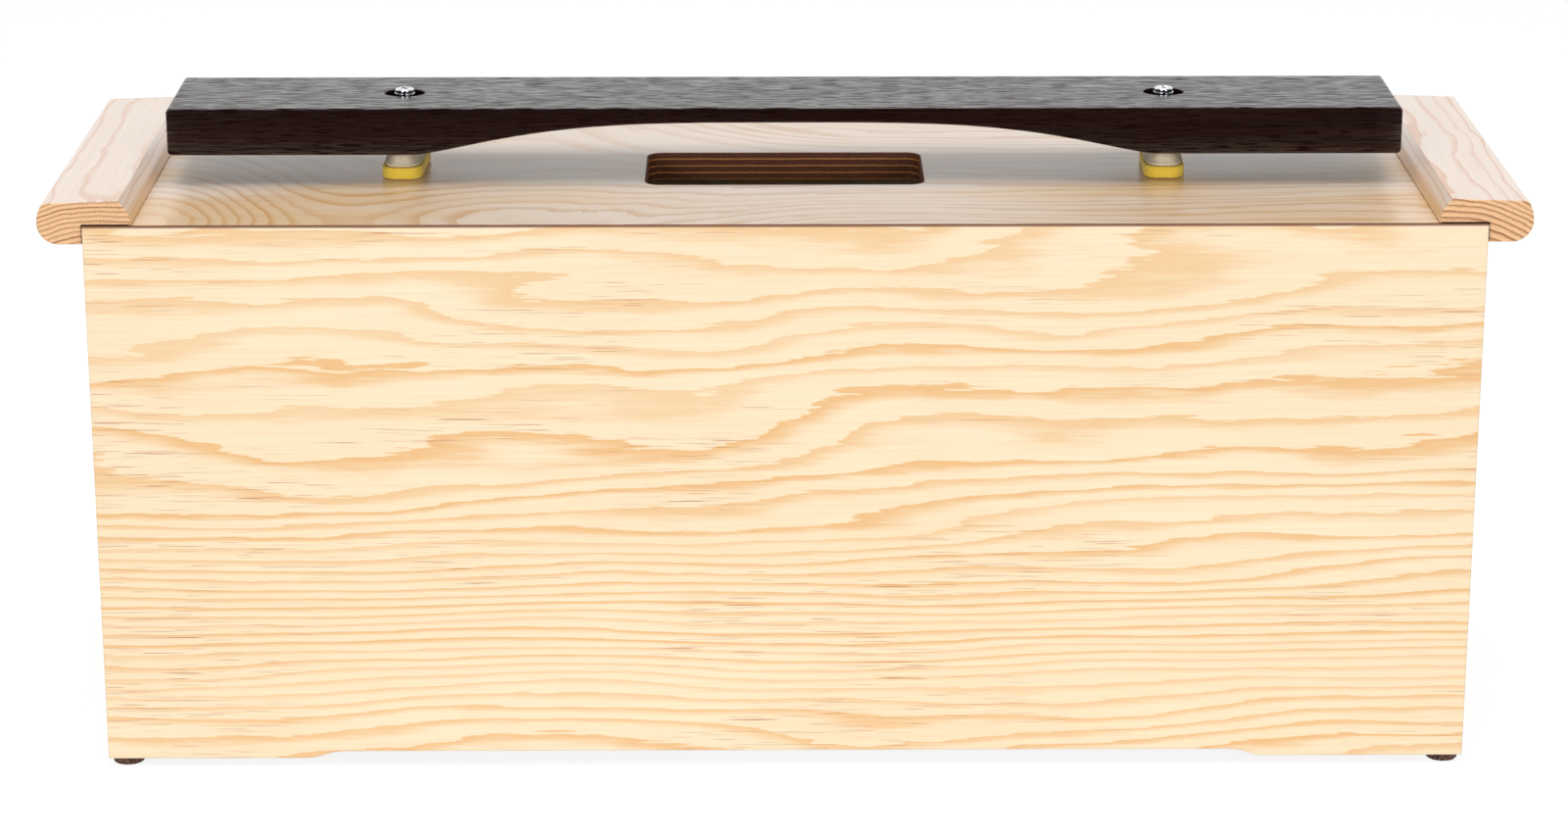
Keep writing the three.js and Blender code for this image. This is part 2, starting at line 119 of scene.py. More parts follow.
def grid_faces(rows, columns, closed):
    """Four corners for each cell of a grid. A point's number is its row times the columns plus
    its column. The last column is next to the first, and so is the last row if closed."""
    row = np.arange(rows if closed else rows - 1)[:, None]
    column = np.arange(columns)[None, :]
    above, beside = (row + 1) % rows, (column + 1) % columns
    corners = (row * columns + column, row * columns + beside,
               above * columns + beside, above * columns + column)
    return np.stack(np.broadcast_arrays(*corners), axis=-1).reshape(-1, 4)


def close_up(mesh):
    """Merges points that share a place, turns the faces outwards, and shades the mesh smoothly
    except across its sharp edges."""
    work = bmesh.new()
    work.from_mesh(mesh)
    bmesh.ops.remove_doubles(work, verts=work.verts, dist=SAME_PLACE * MM)
    bmesh.ops.recalc_face_normals(work, faces=work.faces)
    work.to_mesh(mesh)
    work.free()
    mesh.polygons.foreach_set("use_smooth", np.ones(len(mesh.polygons), bool))
    mesh.set_sharp_from_angle(angle=SHARP_TURN)


def skin(name, points, closed=False, regions=0):
    """A solid from a grid of points in millimetres, shaped rows x columns x 3. Rows that don't
    close get a lid on the first and the last. regions gives each row's number in the list of
    materials."""
    rows, columns = points.shape[:2]
    faces = grid_faces(rows, columns, closed).tolist()
    marks = np.repeat(np.broadcast_to(regions, rows), columns)[:len(faces)].tolist()
    if not closed:
        faces += [list(range(columns)), list(range((rows - 1) * columns, rows * columns))]
        marks += [marks[0], marks[-1]]
    mesh = bpy.data.meshes.new(name)
    mesh.from_pydata((points.reshape(-1, 3) * MM).tolist(), [], faces)
    mesh.polygons.foreach_set("material_index", np.array(marks, dtype=np.int32))
    close_up(mesh)
    return add_object(name, mesh)


print("an open grid of 3 x 4 points has", len(grid_faces(3, 4, False)), "faces")

# %% [markdown]
# ## Outlines
# A board's section is an outline: corners that are rounded off, arcs, and straight runs between
# them. The same outline, drawn in by a little more at each step, also makes the rounded edge at
# the end of the board, which is what sandpaper does to the real one.

# %% Outlines
QUARTER = math.pi / 2


def arc(centre, radius, first, last, steps):
    """Points on a circle from one angle to another: centre + radius x (cosine, sine)."""
    angle = np.linspace(first, last, steps + 1)[:, None]
    return np.asarray(centre) + radius * np.hstack([np.cos(angle), np.sin(angle)])


def oval(half_x, half_y, steps, squareness=2):
    """Points of |x / a| to the n + |y / b| to the n = 1, where n is the squareness: an ellipse
    for 2, and nearer to an oblong above that."""
    angle = 2 * math.pi * np.arange(steps)[:, None] / steps
    sides = np.hstack([np.cos(angle), np.sin(angle)])
    return np.sign(sides) * np.abs(sides) ** (2 / squareness) * (half_x, half_y)


def unit(vectors):
    return vectors / np.linalg.norm(vectors, axis=-1, keepdims=True)


def rounded(corners, radii, steps=5):
    """Each corner gives way to an arc that touches both its sides. With h half the angle between
    the sides, the arc starts radius / tan h from the corner and its centre is radius / sin h
    from it. Points between the two ends of the arc turn evenly."""
    corners = np.asarray(corners, float)
    radii = np.asarray(radii, float)[:, None]
    back = unit(np.roll(corners, 1, axis=0) - corners)
    ahead = unit(np.roll(corners, -1, axis=0) - corners)
    half = np.arccos(np.clip((back * ahead).sum(1, keepdims=True), -1, 1)) / 2
    centre = corners + unit(back + ahead) * radii / np.sin(half)
    first = corners + back * radii / np.tan(half) - centre
    last = corners + ahead * radii / np.tan(half) - centre
    share = np.linspace(0, 1, steps + 1)[None, :, None]
    turn = (math.pi - 2 * half)[:, None, :]
    spread = np.sin((1 - share) * turn) * first[:, None] + np.sin(share * turn) * last[:, None]
    points = (centre[:, None] + spread / np.sin(turn)).reshape(-1, 2)
    apart = np.linalg.norm(points - np.roll(points, 1, axis=0), axis=1) > SAME_PLACE
    return points[apart]


def to_the_left(ways):
    """Each direction turned a quarter to its left."""
    return np.stack([-ways[:, 1], ways[:, 0]], axis=1)


def drawn_in(outline, distance):
    """The outline with each point moved inwards, along the line that halves its corner, until it
    is the given distance from both its sides. The outline runs anticlockwise."""
    ahead = unit(np.roll(outline, -1, axis=0) - outline)
    back = unit(outline - np.roll(outline, 1, axis=0))
    normal = unit(to_the_left(ahead + back))
    slope = (normal * to_the_left(ahead)).sum(1, keepdims=True)
    return outline + normal * distance / slope


def rounded_rectangle(half_x, half_y, radius, corner_steps, side_steps):
    """Four quarter circles, anticlockwise from +X, with the straight sides in equal steps."""
    x, y = half_x - radius, half_y - radius
    share = np.linspace(0, 1, side_steps + 1)[1:-1, None]
    corners = [arc(centre, radius, number * QUARTER, (number + 1) * QUARTER, corner_steps)
               for number, centre in enumerate(((x, y), (-x, y), (-x, -y), (x, -y)))]
    sides = [corner[-1] * (1 - share) + following[0] * share
             for corner, following in zip(corners, corners[1:] + corners[:1])]
    return np.concatenate([part for pair in zip(corners, sides) for part in pair])


def edge_steps(thickness, radius, steps=5):
    """How far an outline draws in, and at what height, from a board's lower face up its edge to
    the upper face: a quarter circle, a straight run and a quarter circle."""
    turn = np.linspace(0, QUARTER, steps + 1)
    draw, rise = radius * (1 - np.sin(turn)), radius * (1 - np.cos(turn))
    return np.r_[draw, draw[::-1]], np.r_[rise, thickness - rise[::-1]]


print("a square with round corners has", len(rounded_rectangle(1, 1, 0.2, 8, 1)), "points")

# %% [markdown]
# ## From outline to solid
# A beam carries its section along Y and draws it in at both ends. A plate lies flat: its outline
# climbs through the thickness. With a hole it is one closed grid, up the outer edge, in over the
# top, down the hole and back underneath, so it has no seam and no lid to tear. A turned piece is
# a stack of circles, as it comes off a lathe.

# %% Beams, plates and turned pieces
def beam(name, outline, half_length, edge, height, regions=lambda draw: 0):
    """Rows are copies of an outline in X and Z at places along Y, drawn in by the rounded edge.
    regions gives a row's material from how far it is drawn in."""
    draw, along = edge_steps(2 * half_length, edge)
    sections = np.stack([drawn_in(outline, distance) for distance in draw])
    points = np.insert(sections, 1, np.broadcast_to(along[:, None] - half_length,
                                                    sections.shape[:2]), axis=2)
    return skin(name, points + (0, 0, height), regions=regions(draw))


def level(outline, height):
    """An outline in X and Y at one height."""
    return np.column_stack([outline, np.full(len(outline), height)])


def plate(name, outer, inner, thickness, edges, place, regions=False, rough=lambda points: points):
    """outer and inner are functions that give an outline for a distance drawn in, and edges are
    their rounded edges. The rows climb the outer edge, cross the top and go down the hole."""
    rows, marks = [], []
    for outline, edge, way in ((outer, edges[0], 1), (inner, edges[1], -1)):
        draw, height = edge_steps(thickness, edge)
        rows += [level(outline(distance), z) for distance, z in zip(draw[::way], height[::way])]
        marks += [1] * (len(draw) - 1) + [0]
    points = rough(np.stack(rows)) + np.asarray(place)
    return skin(name, points, closed=True, regions=marks if regions else 0)


def turned(profile, steps):
    """Rows of circles round Z for each radius and height of a profile. A radius of zero makes a
    pole, where the circle's points merge into one."""
    circle = oval(1, 1, steps)
    return np.stack([level(circle * radius, height) for radius, height in profile])


print("a board's edge is rounded in", len(edge_steps(DECK_THICKNESS, 0.5)[0]), "rows")

# %% [markdown]
# ## Holes, and putting a piece in place
# Holes that cross a piece are cut with a Boolean, because no single grid runs through both. Each
# finished piece then takes the place of its imported solid and moves with that solid's body.

# %% Holes and places
DRILL_POINTS = 32


def carve(piece, cutters):
    """Takes the cutters out of the piece with Boolean modifiers, and keeps the result."""
    for cutter in cutters:
        modifier = piece.modifiers.new("cut", "BOOLEAN")
        modifier.operation = "DIFFERENCE"
        modifier.solver = "EXACT"
        modifier.object = cutter
    shown = piece.evaluated_get(bpy.context.evaluated_depsgraph_get())
    mesh = bpy.data.meshes.new_from_object(shown)
    piece.modifiers.clear()
    piece.data = mesh
    for cutter in cutters:
        bpy.data.objects.remove(cutter)
    mesh.set_sharp_from_angle(angle=SHARP_TURN)


def drill(diameter, x, y, low, high):
    """A round cutter that stands at x, y between two heights."""
    circle = oval(diameter / 2, diameter / 2, DRILL_POINTS) + (x, y)
    return skin("cutter", np.stack([level(circle, low), level(circle, high)]))


def belongs(piece, node, slot, *materials):
    """Says what a finished piece is: its materials and its place in the frame.
    The slot is not used. Its large flat faces decide how the surface is shaded where they meet a
    small round."""
    for material in materials:
        piece.data.materials.append(material)
    piece.modifiers.new("even shading", "WEIGHTED_NORMAL").keep_sharp = True
    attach(piece, "bar" if node == "tone_bar" else "resonator_box")
    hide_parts(node)
    print(piece.name, "replaces", node, "with", len(piece.data.polygons), "faces")


print("a drill is a circle of", DRILL_POINTS, "points, at two heights")

# %% [markdown]
# ## Building materials from nodes
# A finish is a small network: coordinates go in, pattern nodes turn them into masks, and masks
# mix colours and roughness. Wiring it by hand hides the idea behind the clicks. Here a wire
# knows arithmetic, so that a formula is written as one and its nodes are added on the way.

# %% Nodes
def tint(red, green, blue):
    """A colour as seen on a screen, 0 to 255, as the linear light that Blender works with: below
    0.04045 a twelfth of it, above that ((c + 0.055) / 1.055) to the power 2.4."""
    seen = np.array([red, green, blue]) / 255
    linear = np.where(seen <= 0.04045, seen / 12.92, ((seen + 0.055) / 1.055) ** 2.4)
    return (*linear.tolist(), 1.0)


def joins(operation, output=0):
    """A way to join wires and numbers: a Vector Math node if the first wire is a vector or a
    colour, and otherwise a Math node."""
    def join(wire, *others):
        family = "VectorMath" if wire.socket.type in ("VECTOR", "RGBA") else "Math"
        return wire.net.add("ShaderNode" + family, {"operation": operation},
                            (wire, *others))[output]
    return join


class Wire:
    """An output of a node: the first, or the one picked by its name or number. Arithmetic with
    wires adds nodes, and a | b is the larger of two masks."""

    def __init__(self, net, node, output=0):
        self.net, self.node, self.socket = net, node, node.outputs[output]

    def __getitem__(self, output):
        return Wire(self.net, self.node, output)

    __add__, __sub__, __mul__ = joins("ADD"), joins("SUBTRACT"), joins("MULTIPLY")
    __truediv__, __pow__, __abs__ = joins("DIVIDE"), joins("POWER"), joins("ABSOLUTE")
    __or__, __lt__, __gt__ = joins("MAXIMUM"), joins("LESS_THAN"), joins("GREATER_THAN")
    tanh, exp, floor, fraction = map(joins, ("TANH", "EXPONENT", "FLOOR", "FRACT"))
    length, dot = joins("LENGTH", 1), joins("DOT_PRODUCT", 1)

    def __rsub__(self, number):
        return self.net.add("ShaderNodeMath", {"operation": "SUBTRACT"}, (number, self))

    def smooth(self, low, high, start=0.0, end=1.0):
        """Goes gently from start to end as the wire goes from low to high."""
        return self.net.add("ShaderNodeMapRange", {"interpolation_type": "SMOOTHSTEP"},
                            (self, low, high, start, end))

    def between(self, first, second):
        """Goes gently from first to second as a mask goes from 0 to 1."""
        return self.smooth(0.0, 1.0, first, second)

    def noise(self, stretch, detail=2.0, roughness=0.5):
        """Noise with about this many spots a metre: along X, Y and Z, or one number for all."""
        return self.net.add("ShaderNodeTexNoise", Vector=self * stretch, Scale=1.0,
                            Detail=detail, Roughness=roughness)

    def parts(self):
        """X, Y and Z of a vector."""
        return self.net.add("ShaderNodeSeparateXYZ", Vector=self)

    def through(self, group, **inputs):
        """What a group makes of the wire as its first input."""
        return self.net.add("ShaderNodeGroup", {"node_tree": group}, (self,), **inputs)


class Network:
    """The nodes of a material or a group."""

    def __init__(self, tree):
        self.tree = tree

    def feed(self, socket, value):
        """Links a wire to a socket, or writes a plain value on it."""
        if isinstance(value, Wire):
            self.tree.links.new(value.socket, socket)
        elif socket.type == "VECTOR" and isinstance(value, float):
            socket.default_value = (value, value, value)
        else:
            socket.default_value = value

    def add(self, kind, settings=(), values=(), **inputs):
        """A new node. values go to its first inputs in order, and inputs to those so named."""
        node = self.tree.nodes.new(kind)
        for name, value in dict(settings).items():
            setattr(node, name, value)
        for socket, value in zip(node.inputs, values):
            self.feed(socket, value)
        for name, value in inputs.items():
            self.feed(node.inputs[name.replace("_", " ")], value)
        return Wire(self, node)

    def mix(self, share, first, second):
        mixed = self.add("ShaderNodeMix", {"data_type": "RGBA"})
        for number, value in ((0, share), (6, first), (7, second)):
            self.feed(mixed.node.inputs[number], value)
        return mixed[2]

    def stain(self, colour, *layers):
        """The colour under layers of others, each with its mask and its greatest share."""
        for other, mask, share in layers:
            colour = self.mix(mask * share, colour, other)
        return colour

    def coordinates(self, output="Object"):
        """X, Y and Z of the place on the piece."""
        return self.add("ShaderNodeTexCoord")[output].parts()

    def placed(self, location=(0, 0, 0), turn=(0, 0, 0)):
        """Object coordinates, turned and moved so that the grain runs along X from the origin."""
        return self.add("ShaderNodeMapping", Vector=self.add("ShaderNodeTexCoord")["Object"],
                        Location=location, Rotation=turn)


print("mid grey on a screen is", round(tint(128, 128, 128)[0], 3), "of white's light")

# %% [markdown]
# ## Groups and materials
# A pattern that several finishes share is made once, as a group with named inputs. A material
# takes its pattern from a function, and its plain values go straight to the shader.

# %% Groups and materials
def node_group(name, inputs, outputs, build):
    """A shader node group. build gets the group's inputs by name, and returns what goes to each
    output. A number as a default makes a value socket, None a vector."""
    tree = bpy.data.node_groups.new(name, "ShaderNodeTree")
    for label, default in inputs.items():
        kind = "NodeSocketVector" if default is None else "NodeSocketFloat"
        socket = tree.interface.new_socket(label, in_out="INPUT", socket_type=kind)
        if default is not None:
            socket.default_value = default
    for label in outputs:
        tree.interface.new_socket(label, in_out="OUTPUT", socket_type="NodeSocketFloat")
    net = Network(tree)
    leave = tree.nodes.new("NodeGroupOutput")
    for socket, value in zip(leave.inputs, build(net.add("NodeGroupInput"))):
        net.feed(socket, value)
    print("group", name, "has", len(tree.nodes), "nodes")
    return tree


def material(name, build, *choices, **shader_values):
    """A material whose plain values sit on the shader itself. build gets the network and the
    choices and returns what feeds Base Color, Roughness and the height of a Bump node, with the
    bump's depth in mm, and then, if the finish has one, its coat's weight."""
    made = bpy.data.materials.new(name)
    made.use_nodes = True
    net = Network(made.node_tree)
    shader = net.tree.nodes["Principled BSDF"]
    for label, value in shader_values.items():
        shader.inputs[label.replace("_", " ")].default_value = value
    colour, roughness, height, depth, *coat = build(net, *choices)
    bump = net.add("ShaderNodeBump", Height=height, Distance=depth * MM)
    for label, value in zip(("Base Color", "Roughness", "Normal", "Coat Weight"),
                            (colour, roughness, bump, *coat)):
        net.feed(shader.inputs[label], value)
    print("material", name, "has", len(net.tree.nodes), "nodes")
    return made


print("node groups so far:", len(bpy.data.node_groups))

# %% [markdown]
# ## Wood
# Real grain is the tree's yearly rings, cut by the board's faces. Each ring is pale spring wood
# that darkens slowly to a band of late wood and then stops at once. A flat picture on each face
# would never meet at the corners, so the rings are worked out in space: a phase that grows by one
# with each ring, whatever face cuts it. In a solid rail the phase grows with the distance from
# the heart of the tree. In plywood the face sheet is peeled from the log along its rings, which
# draws the wide flames and islands, so there the phase is a slope with slow waves in it.

# %% Groups for wood
LATE_PEAK, RING_STOP = 0.93, 0.95
SHEET_WAVES = (((2.9, 10.0, 16.0), 2.0, 7.0), ((8.0, 22.0, 30.0), 1.0, 1.3),
               ((11.0, 60.0, 62.0), 3.0, 1.5), ((48.0, 420.0, 640.0), 2.5, 0.5))
EDGE_REACH = 1.2 * MM


def build_ring_shades(given):
    """Late wood: the fraction of the phase, risen over the late share and cut off at the end of
    the ring. Ring tone: one random number for each whole ring."""
    part, whole = given["Phase"].fraction(), given["Phase"].floor()
    random = given.net.add("ShaderNodeTexWhiteNoise", {"noise_dimensions": "1D"}, W=whole)
    rise = part.smooth(LATE_PEAK - given["Late Share"], LATE_PEAK)
    return rise * part.smooth(RING_STOP, 1.0, 1.0, 0.0), random["Value"]


def build_log_rings(given):
    """Phase = a whole number at each ring: reference radius / (ring width x crowding) x (distance
    from the heart / reference radius) to the power of crowding. The heart lies along X, and
    slow and quick noise lets the rings wander."""
    slow, quick = (given["Vector"].noise(stretch)["Color"] - 0.5
                   for stretch in ((14.0, 26.0, 26.0), (30.0, 190.0, 190.0)))
    wandered = given["Vector"] + (slow + quick * 0.3) * given["Wander"]
    share = (wandered * (0.0, 1.0, 1.0)).length() / given["Reference Radius"]
    turns = given["Reference Radius"] / (given["Ring Width"] * given["Crowding"])
    return (turns * share ** given["Crowding"],)


def build_peeled_sheet(given):
    """Phase of a peeled face sheet with its grain along X and its width along Z: a slope across
    the sheet, a crowded band round one height (a hyperbolic tangent), and waves of four sizes.
    The waves grow away from the crowded band, where the sheet ran nearly along the rings, and
    the lean lets the lines climb towards one end."""
    x, _, z = given["Vector"].parts()
    from_band = (z - given["Band Height"]) / given["Band Width"]
    stir = abs(from_band).smooth(0.2, 1.5, 0.65, 1.0)
    climb = x.smooth(-0.06, 0.3) * given["Lean"]
    phase = (z - climb * stir) / given["Ring Width"] + from_band.tanh() * given["Band Rings"]
    for stretch, detail, size in SHEET_WAVES:
        wave = given["Vector"].noise(stretch, detail) - 0.5
        phase = phase + wave * given["Flame"] * stir * size
    return (phase,)


def build_grain(given):
    """Fibres: long thin noise along X. Pores: short dark dashes where a much finer noise peaks,
    in loose patches. Cloud: a slow drift of tone."""
    fibre, dash, patch, cloud = (
        given["Vector"].noise(stretch, detail)
        for stretch, detail in (((16.0, 1100.0, 1100.0), 3.0), ((34.0, 2500.0, 2500.0), 1.0),
                                ((9.0, 34.0, 34.0), 2.0), ((5.0, 16.0, 16.0), 3.0)))
    pores = dash.smooth(0.65, 0.7) * patch.smooth(0.48, 0.62)
    return fibre.smooth(0.3, 0.7), pores, cloud.smooth(0.3, 0.7)


def build_edge_wear(given):
    """1 on a worn edge and 0 on a flat face: how far a rounded copy of the surface turns away from
    the surface itself, broken up by noise so that the wear comes and goes."""
    rounded_off = given.net.add("ShaderNodeBevel", {"samples": 6}, Radius=EDGE_REACH)
    surface = given.net.add("ShaderNodeNewGeometry")["Normal"]
    turned_away = 1.0 - rounded_off.dot(surface)
    rubbed = given["Vector"].noise(70.0, detail=4.0)
    return (turned_away.smooth(0.01, 0.2) * rubbed.smooth(0.35, 0.6),)


RING_SHADES = node_group("ring shades", {"Phase": 0.0, "Late Share": 0.45},
                         ("Late Wood", "Ring Tone"), build_ring_shades)
LOG_RINGS = node_group(
    "log rings", {"Vector": None, "Ring Width": 0.002, "Reference Radius": 0.08,
                  "Crowding": 1.5, "Wander": 0.002}, ("Phase",), build_log_rings)
PEELED_SHEET = node_group(
    "peeled sheet", {"Vector": None, "Ring Width": 0.013, "Band Height": 0.062,
                     "Band Width": 0.034, "Band Rings": 6.8, "Flame": 1.0, "Lean": 0.03},
    ("Phase",), build_peeled_sheet)
GRAIN = node_group("grain", {"Vector": None}, ("Fibres", "Pores", "Cloud"), build_grain)
EDGE_WEAR = node_group("edge wear", {"Vector": None}, ("Worn",), build_edge_wear)

# %% [markdown]
# ## Plywood edges
# A plywood edge shows thin layers whose grain runs along and across by turns: pale lines between
# browner end grain. The group reads how deep into the board a point is.

# %% Group for ply edges
PLY_PITCH = 3.0 * MM
PLY_LINE = 0.16


def build_plies(given):
    """Line: 1 in the thin pale layers, one for each ply pitch of depth. End grain: small specks in
    the layers between."""
    depth = given["Depth"] / PLY_PITCH + (given["Vector"].noise(90.0) - 0.5) * 0.12
    near = abs(depth.fraction() - 0.93)
    specks = given["Vector"].noise(1500.0, detail=3.0)
    return near.smooth(PLY_LINE / 2, PLY_LINE, 1.0, 0.0), specks.smooth(0.35, 0.65)


PLIES = node_group("plies", {"Vector": None, "Depth": 0.0}, ("Line", "End Grain"), build_plies)

# %% [markdown]
# ## The finish of the box
# The front, the back and the sides are faced with pine under a thin satin lacquer. The pattern
# nodes read Object coordinates, so the same material fits opposite boards. A mask from the
# surface's own direction keeps the face sheet on the faces and puts the plies on the edges, and
# a brown line marks the joint with the deck, where lacquer gathers.

# %% Box materials
PINE_PALE, PINE_LATE = tint(251, 234, 202), tint(240, 192, 133)
PINE_PORE, JOINT_BROWN = tint(184, 104, 52), tint(118, 70, 46)
PLY_BROWN, PLY_PALE = tint(142, 96, 70), tint(214, 176, 134)


def face_colour(net, place, phase, pale, late):
    """Pale wood mixed towards late wood in each ring, streaked by fibres and dotted by pores."""
    shades, grain = phase.through(RING_SHADES, Late_Share=0.5), place.through(GRAIN)
    strength = shades["Late Wood"] * shades["Ring Tone"].between(0.55, 1.0)
    colour = net.stain(net.mix(strength, pale, late), (late, grain["Fibres"], 0.2),
                       (late, grain["Cloud"], 0.12), (PINE_PORE, grain["Pores"], 0.75))
    return colour, grain, strength


def edge_colour(net, place, depth, brown=PLY_BROWN, pale=PLY_PALE):
    plies = place.through(PLIES, Depth=depth)
    return net.stain(net.mix(plies["Line"], brown, pale), (PINE_PORE, plies["End Grain"], 0.35))


def facing(net, axis):
    """1 where the surface looks along the axis, either way, from the mesh's own normals."""
    return abs(net.coordinates("Normal")[axis]).smooth(0.5, 0.6)


def build_wall(net, turn, axis, half_size):
    """A wall whose grain is turned to X and whose faces look along the axis, half_size from the
    middle."""
    place, where = net.placed(turn=turn), net.coordinates()
    phase, worn = place.through(PEELED_SHEET), place.through(EDGE_WEAR)
    colour, grain, late = face_colour(net, place, phase, PINE_PALE, PINE_LATE)
    depth = half_size * MM - abs(where[axis])
    colour = net.mix(facing(net, axis), edge_colour(net, place, depth), colour)
    joint = where["Z"].smooth((DECK_TOP - 0.7) * MM, (DECK_TOP - 0.4) * MM, 0.0, 0.85)
    colour = net.mix(joint, net.stain(colour, (PINE_LATE, worn, 0.3)), JOINT_BROWN)
    roughness = (grain["Fibres"].between(0.42, 0.5) + depth.smooth(0.0, 0.5 * MM, 0.0, 0.3)
                 + worn * 0.15)
    return colour, roughness, late - grain["Pores"], 0.004


LONG_PANEL_PINE = material("long_panel_pine", build_wall, (0, 0, 0), "Y", HALF_DEPTH)
SIDE_PANEL_PINE = material("side_panel_pine", build_wall, (0, 0, QUARTER), "X", HALF_WIDTH)

# %% [markdown]
# ## Wood inside the box
# What no lacquer reaches is duller: a plain plywood floor, sawn pine blocks and beech dowels. All
# of these, and the walls, are flat or round enough as they were packed, so they stay and only
# take a finish.

# %% Inner materials
def build_inner_ply(net):
    phase = net.placed(turn=(QUARTER, 0, 0)).through(PEELED_SHEET, Flame=0.6)
    colour, grain, _ = face_colour(net, net.placed(), phase, tint(222, 190, 145),
                                   tint(196, 152, 104))
    return colour, grain["Fibres"].between(0.68, 0.8), grain["Pores"], 0.08


def build_raw_pine(net):
    place = net.placed(location=(0, 0.04, 0.05), turn=(0, QUARTER, 0))
    phase = place.through(LOG_RINGS, Ring_Width=0.0026)
    colour, grain, _ = face_colour(net, place, phase, tint(235, 205, 160), tint(205, 155, 105))
    return colour, grain["Fibres"].between(0.7, 0.82), grain["Fibres"], 0.1


def build_beech(net):
    grain = net.placed(turn=(0, QUARTER, 0)).through(GRAIN)
    colour = net.mix(grain["Fibres"], tint(222, 184, 142), tint(198, 152, 108))
    return colour, grain["Cloud"].between(0.55, 0.65), grain["Fibres"], 0.05


KEPT = {"front_panel": LONG_PANEL_PINE, "back_panel": LONG_PANEL_PINE,
        "side_panel": SIDE_PANEL_PINE, "bottom_panel": material("inner_ply", build_inner_ply),
        "block": material("raw_pine", build_raw_pine), "dowel": material("beech", build_beech)}
for word, finish in KEPT.items():
    finished = [name for name in NODES if word in name]
    for name in finished:
        NODES[name].material_slots[0].material = finish
    print(finish.name, "on", *finished)

# %% [markdown]
# ## The finish of the deck
# The deck is the lacquered top board. Seen from the camera the lacquer mirrors the bright room
# behind it, so it looks pale where nothing is in the way and shows its own warm wood only where
# it mirrors the dark bar. Much of that is the shader's own Fresnel effect with a thin clear coat,
# and a paler, pinker tone painted over the back and the middle adds painted sheen to it.

# %% Deck materials
# The second colour of each pair is a paler, pinker copy for the back and the middle: painted sheen.
DECK_PALE, DECK_SHEEN_PALE = tint(234, 203, 162), tint(240, 223, 208)
DECK_LATE, SHEEN_LATE_TONE = tint(216, 164, 94), tint(218, 184, 150)
# Ply colours darkened far below the box's own ply edges: painted shade on the slot's wall and the
# deck's edges.
DECK_EDGE_SHADE_BROWN, DECK_EDGE_SHADE_PALE = tint(70, 30, 9), tint(206, 142, 72)
HILLS = (((-0.262, 0.055), (0.086, 0.110), 11.0), ((-0.112, 0.070), (0.082, 0.060), 7.0))


def build_deck(net):
    """The sheet's phase, plus two smooth hills that bend its lines into nested arches at the
    front left corner: rings x e to the power of minus the sum of (distance / width) squared.
    A paler, pinker tone drifts over the back and the middle, painted in as the sheen of the bright
    room."""
    place = net.placed(turn=(-QUARTER, 0, 0))
    along, _, across = place.parts()
    spread = net.add("ShaderNodeCombineXYZ", X=1.0, Y=1.0,
                     Z=along.smooth(-0.11, 0.03, 0.17, 1.0))
    phase = (place * spread).through(PEELED_SHEET, Ring_Width=0.0088, Band_Height=-0.2,
                                     Band_Width=0.1, Band_Rings=0.0, Flame=1.0, Lean=0.0)
    for (x, width_x), (z, width_z), rings in HILLS:
        away = ((along - x) / width_x) ** 2.0 + ((across - z) / width_z) ** 2.0
        phase = phase + (away * -1.0).exp() * rings
    # A paler, pinker tone over the back and the middle is painted sheen of the bright room.
    drift = place.noise((7.0, 7.0, 22.0)).smooth(0.3, 0.7, -0.05, 0.05)
    painted_sheen = ((across + drift).smooth(-0.03, 0.06, 1.0, 0.0)
               | (abs(along) + drift).smooth(0.05, 0.2, 1.0, 0.0))
    colour, grain, _ = face_colour(net, place, phase, net.mix(painted_sheen, DECK_PALE, DECK_SHEEN_PALE),
                                   net.mix(painted_sheen, DECK_LATE, SHEEN_LATE_TONE))
    worn = place.through(EDGE_WEAR)
    return (net.stain(colour, (DECK_LATE, worn, 0.3)),
            grain["Cloud"].between(0.32, 0.38) + worn * 0.2, grain["Fibres"] * 0.4, 0.012)


# The deck's edges and the slot's wall: plies in darkened colours, which are painted shade.
def build_shaded_deck_edge(net):
    place = net.placed()
    depth = DECK_TOP * MM - place.parts()["Z"]
    fibres = place.through(GRAIN)["Fibres"]
    return (edge_colour(net, place, depth, DECK_EDGE_SHADE_BROWN, DECK_EDGE_SHADE_PALE), fibres.between(0.6, 0.72),
            fibres, 0.05)


DECK_FACE = material("deck_face", build_deck, Coat_Weight=0.6, Coat_Roughness=0.29,
                     Specular_IOR_Level=0.2)
DECK_EDGE = material("deck_edge", build_shaded_deck_edge)

# %% [markdown]
# ## The deck
# The slot lets the bar's sound into the box. The board could stay the imported solid, but its
# slot's corners and rims are in the middle of the picture, so it is made again as one grid with
# round rims. Its wall and its outer edges show the plies, in colours darkened as painted shade.

# %% Deck
SLOT_HALF = (58.5, 28)
SLOT_RADIUS = 6
DECK_HALF_Y = HALF_DEPTH - 2 - SEAT_GAP
DECK_CORNER = 0.6
DECK_EDGES = (0.5, 0.6)
SHANK_HOLE, DOWEL_HOLE = 4.6, 6.6
DOWEL_X = HALF_WIDTH - 6


def deck_outline(draw):
    return rounded_rectangle(HALF_WIDTH - draw, DECK_HALF_Y - draw, DECK_CORNER, 12, 24)


def slot_outline(draw):
    return rounded_rectangle(SLOT_HALF[0] + draw, SLOT_HALF[1] + draw, SLOT_RADIUS + draw, 12, 24)


def make_deck():
    bottom = DECK_TOP - DECK_THICKNESS
    deck = plate("deck", deck_outline, slot_outline, DECK_THICKNESS, DECK_EDGES, (0, 0, bottom),
                 regions=True)
    spots = [(SHANK_HOLE, sign * POST_X, 0) for sign in SIDES.values()]
    spots += [(DOWEL_HOLE, sign * DOWEL_X, y) for sign in SIDES.values() for y in DOWEL_ROWS]
    carve(deck, [drill(*spot, bottom - 1, DECK_TOP + 1) for spot in spots])
    belongs(deck, "top_panel", "lacquered_plywood", DECK_FACE, DECK_EDGE)


make_deck()
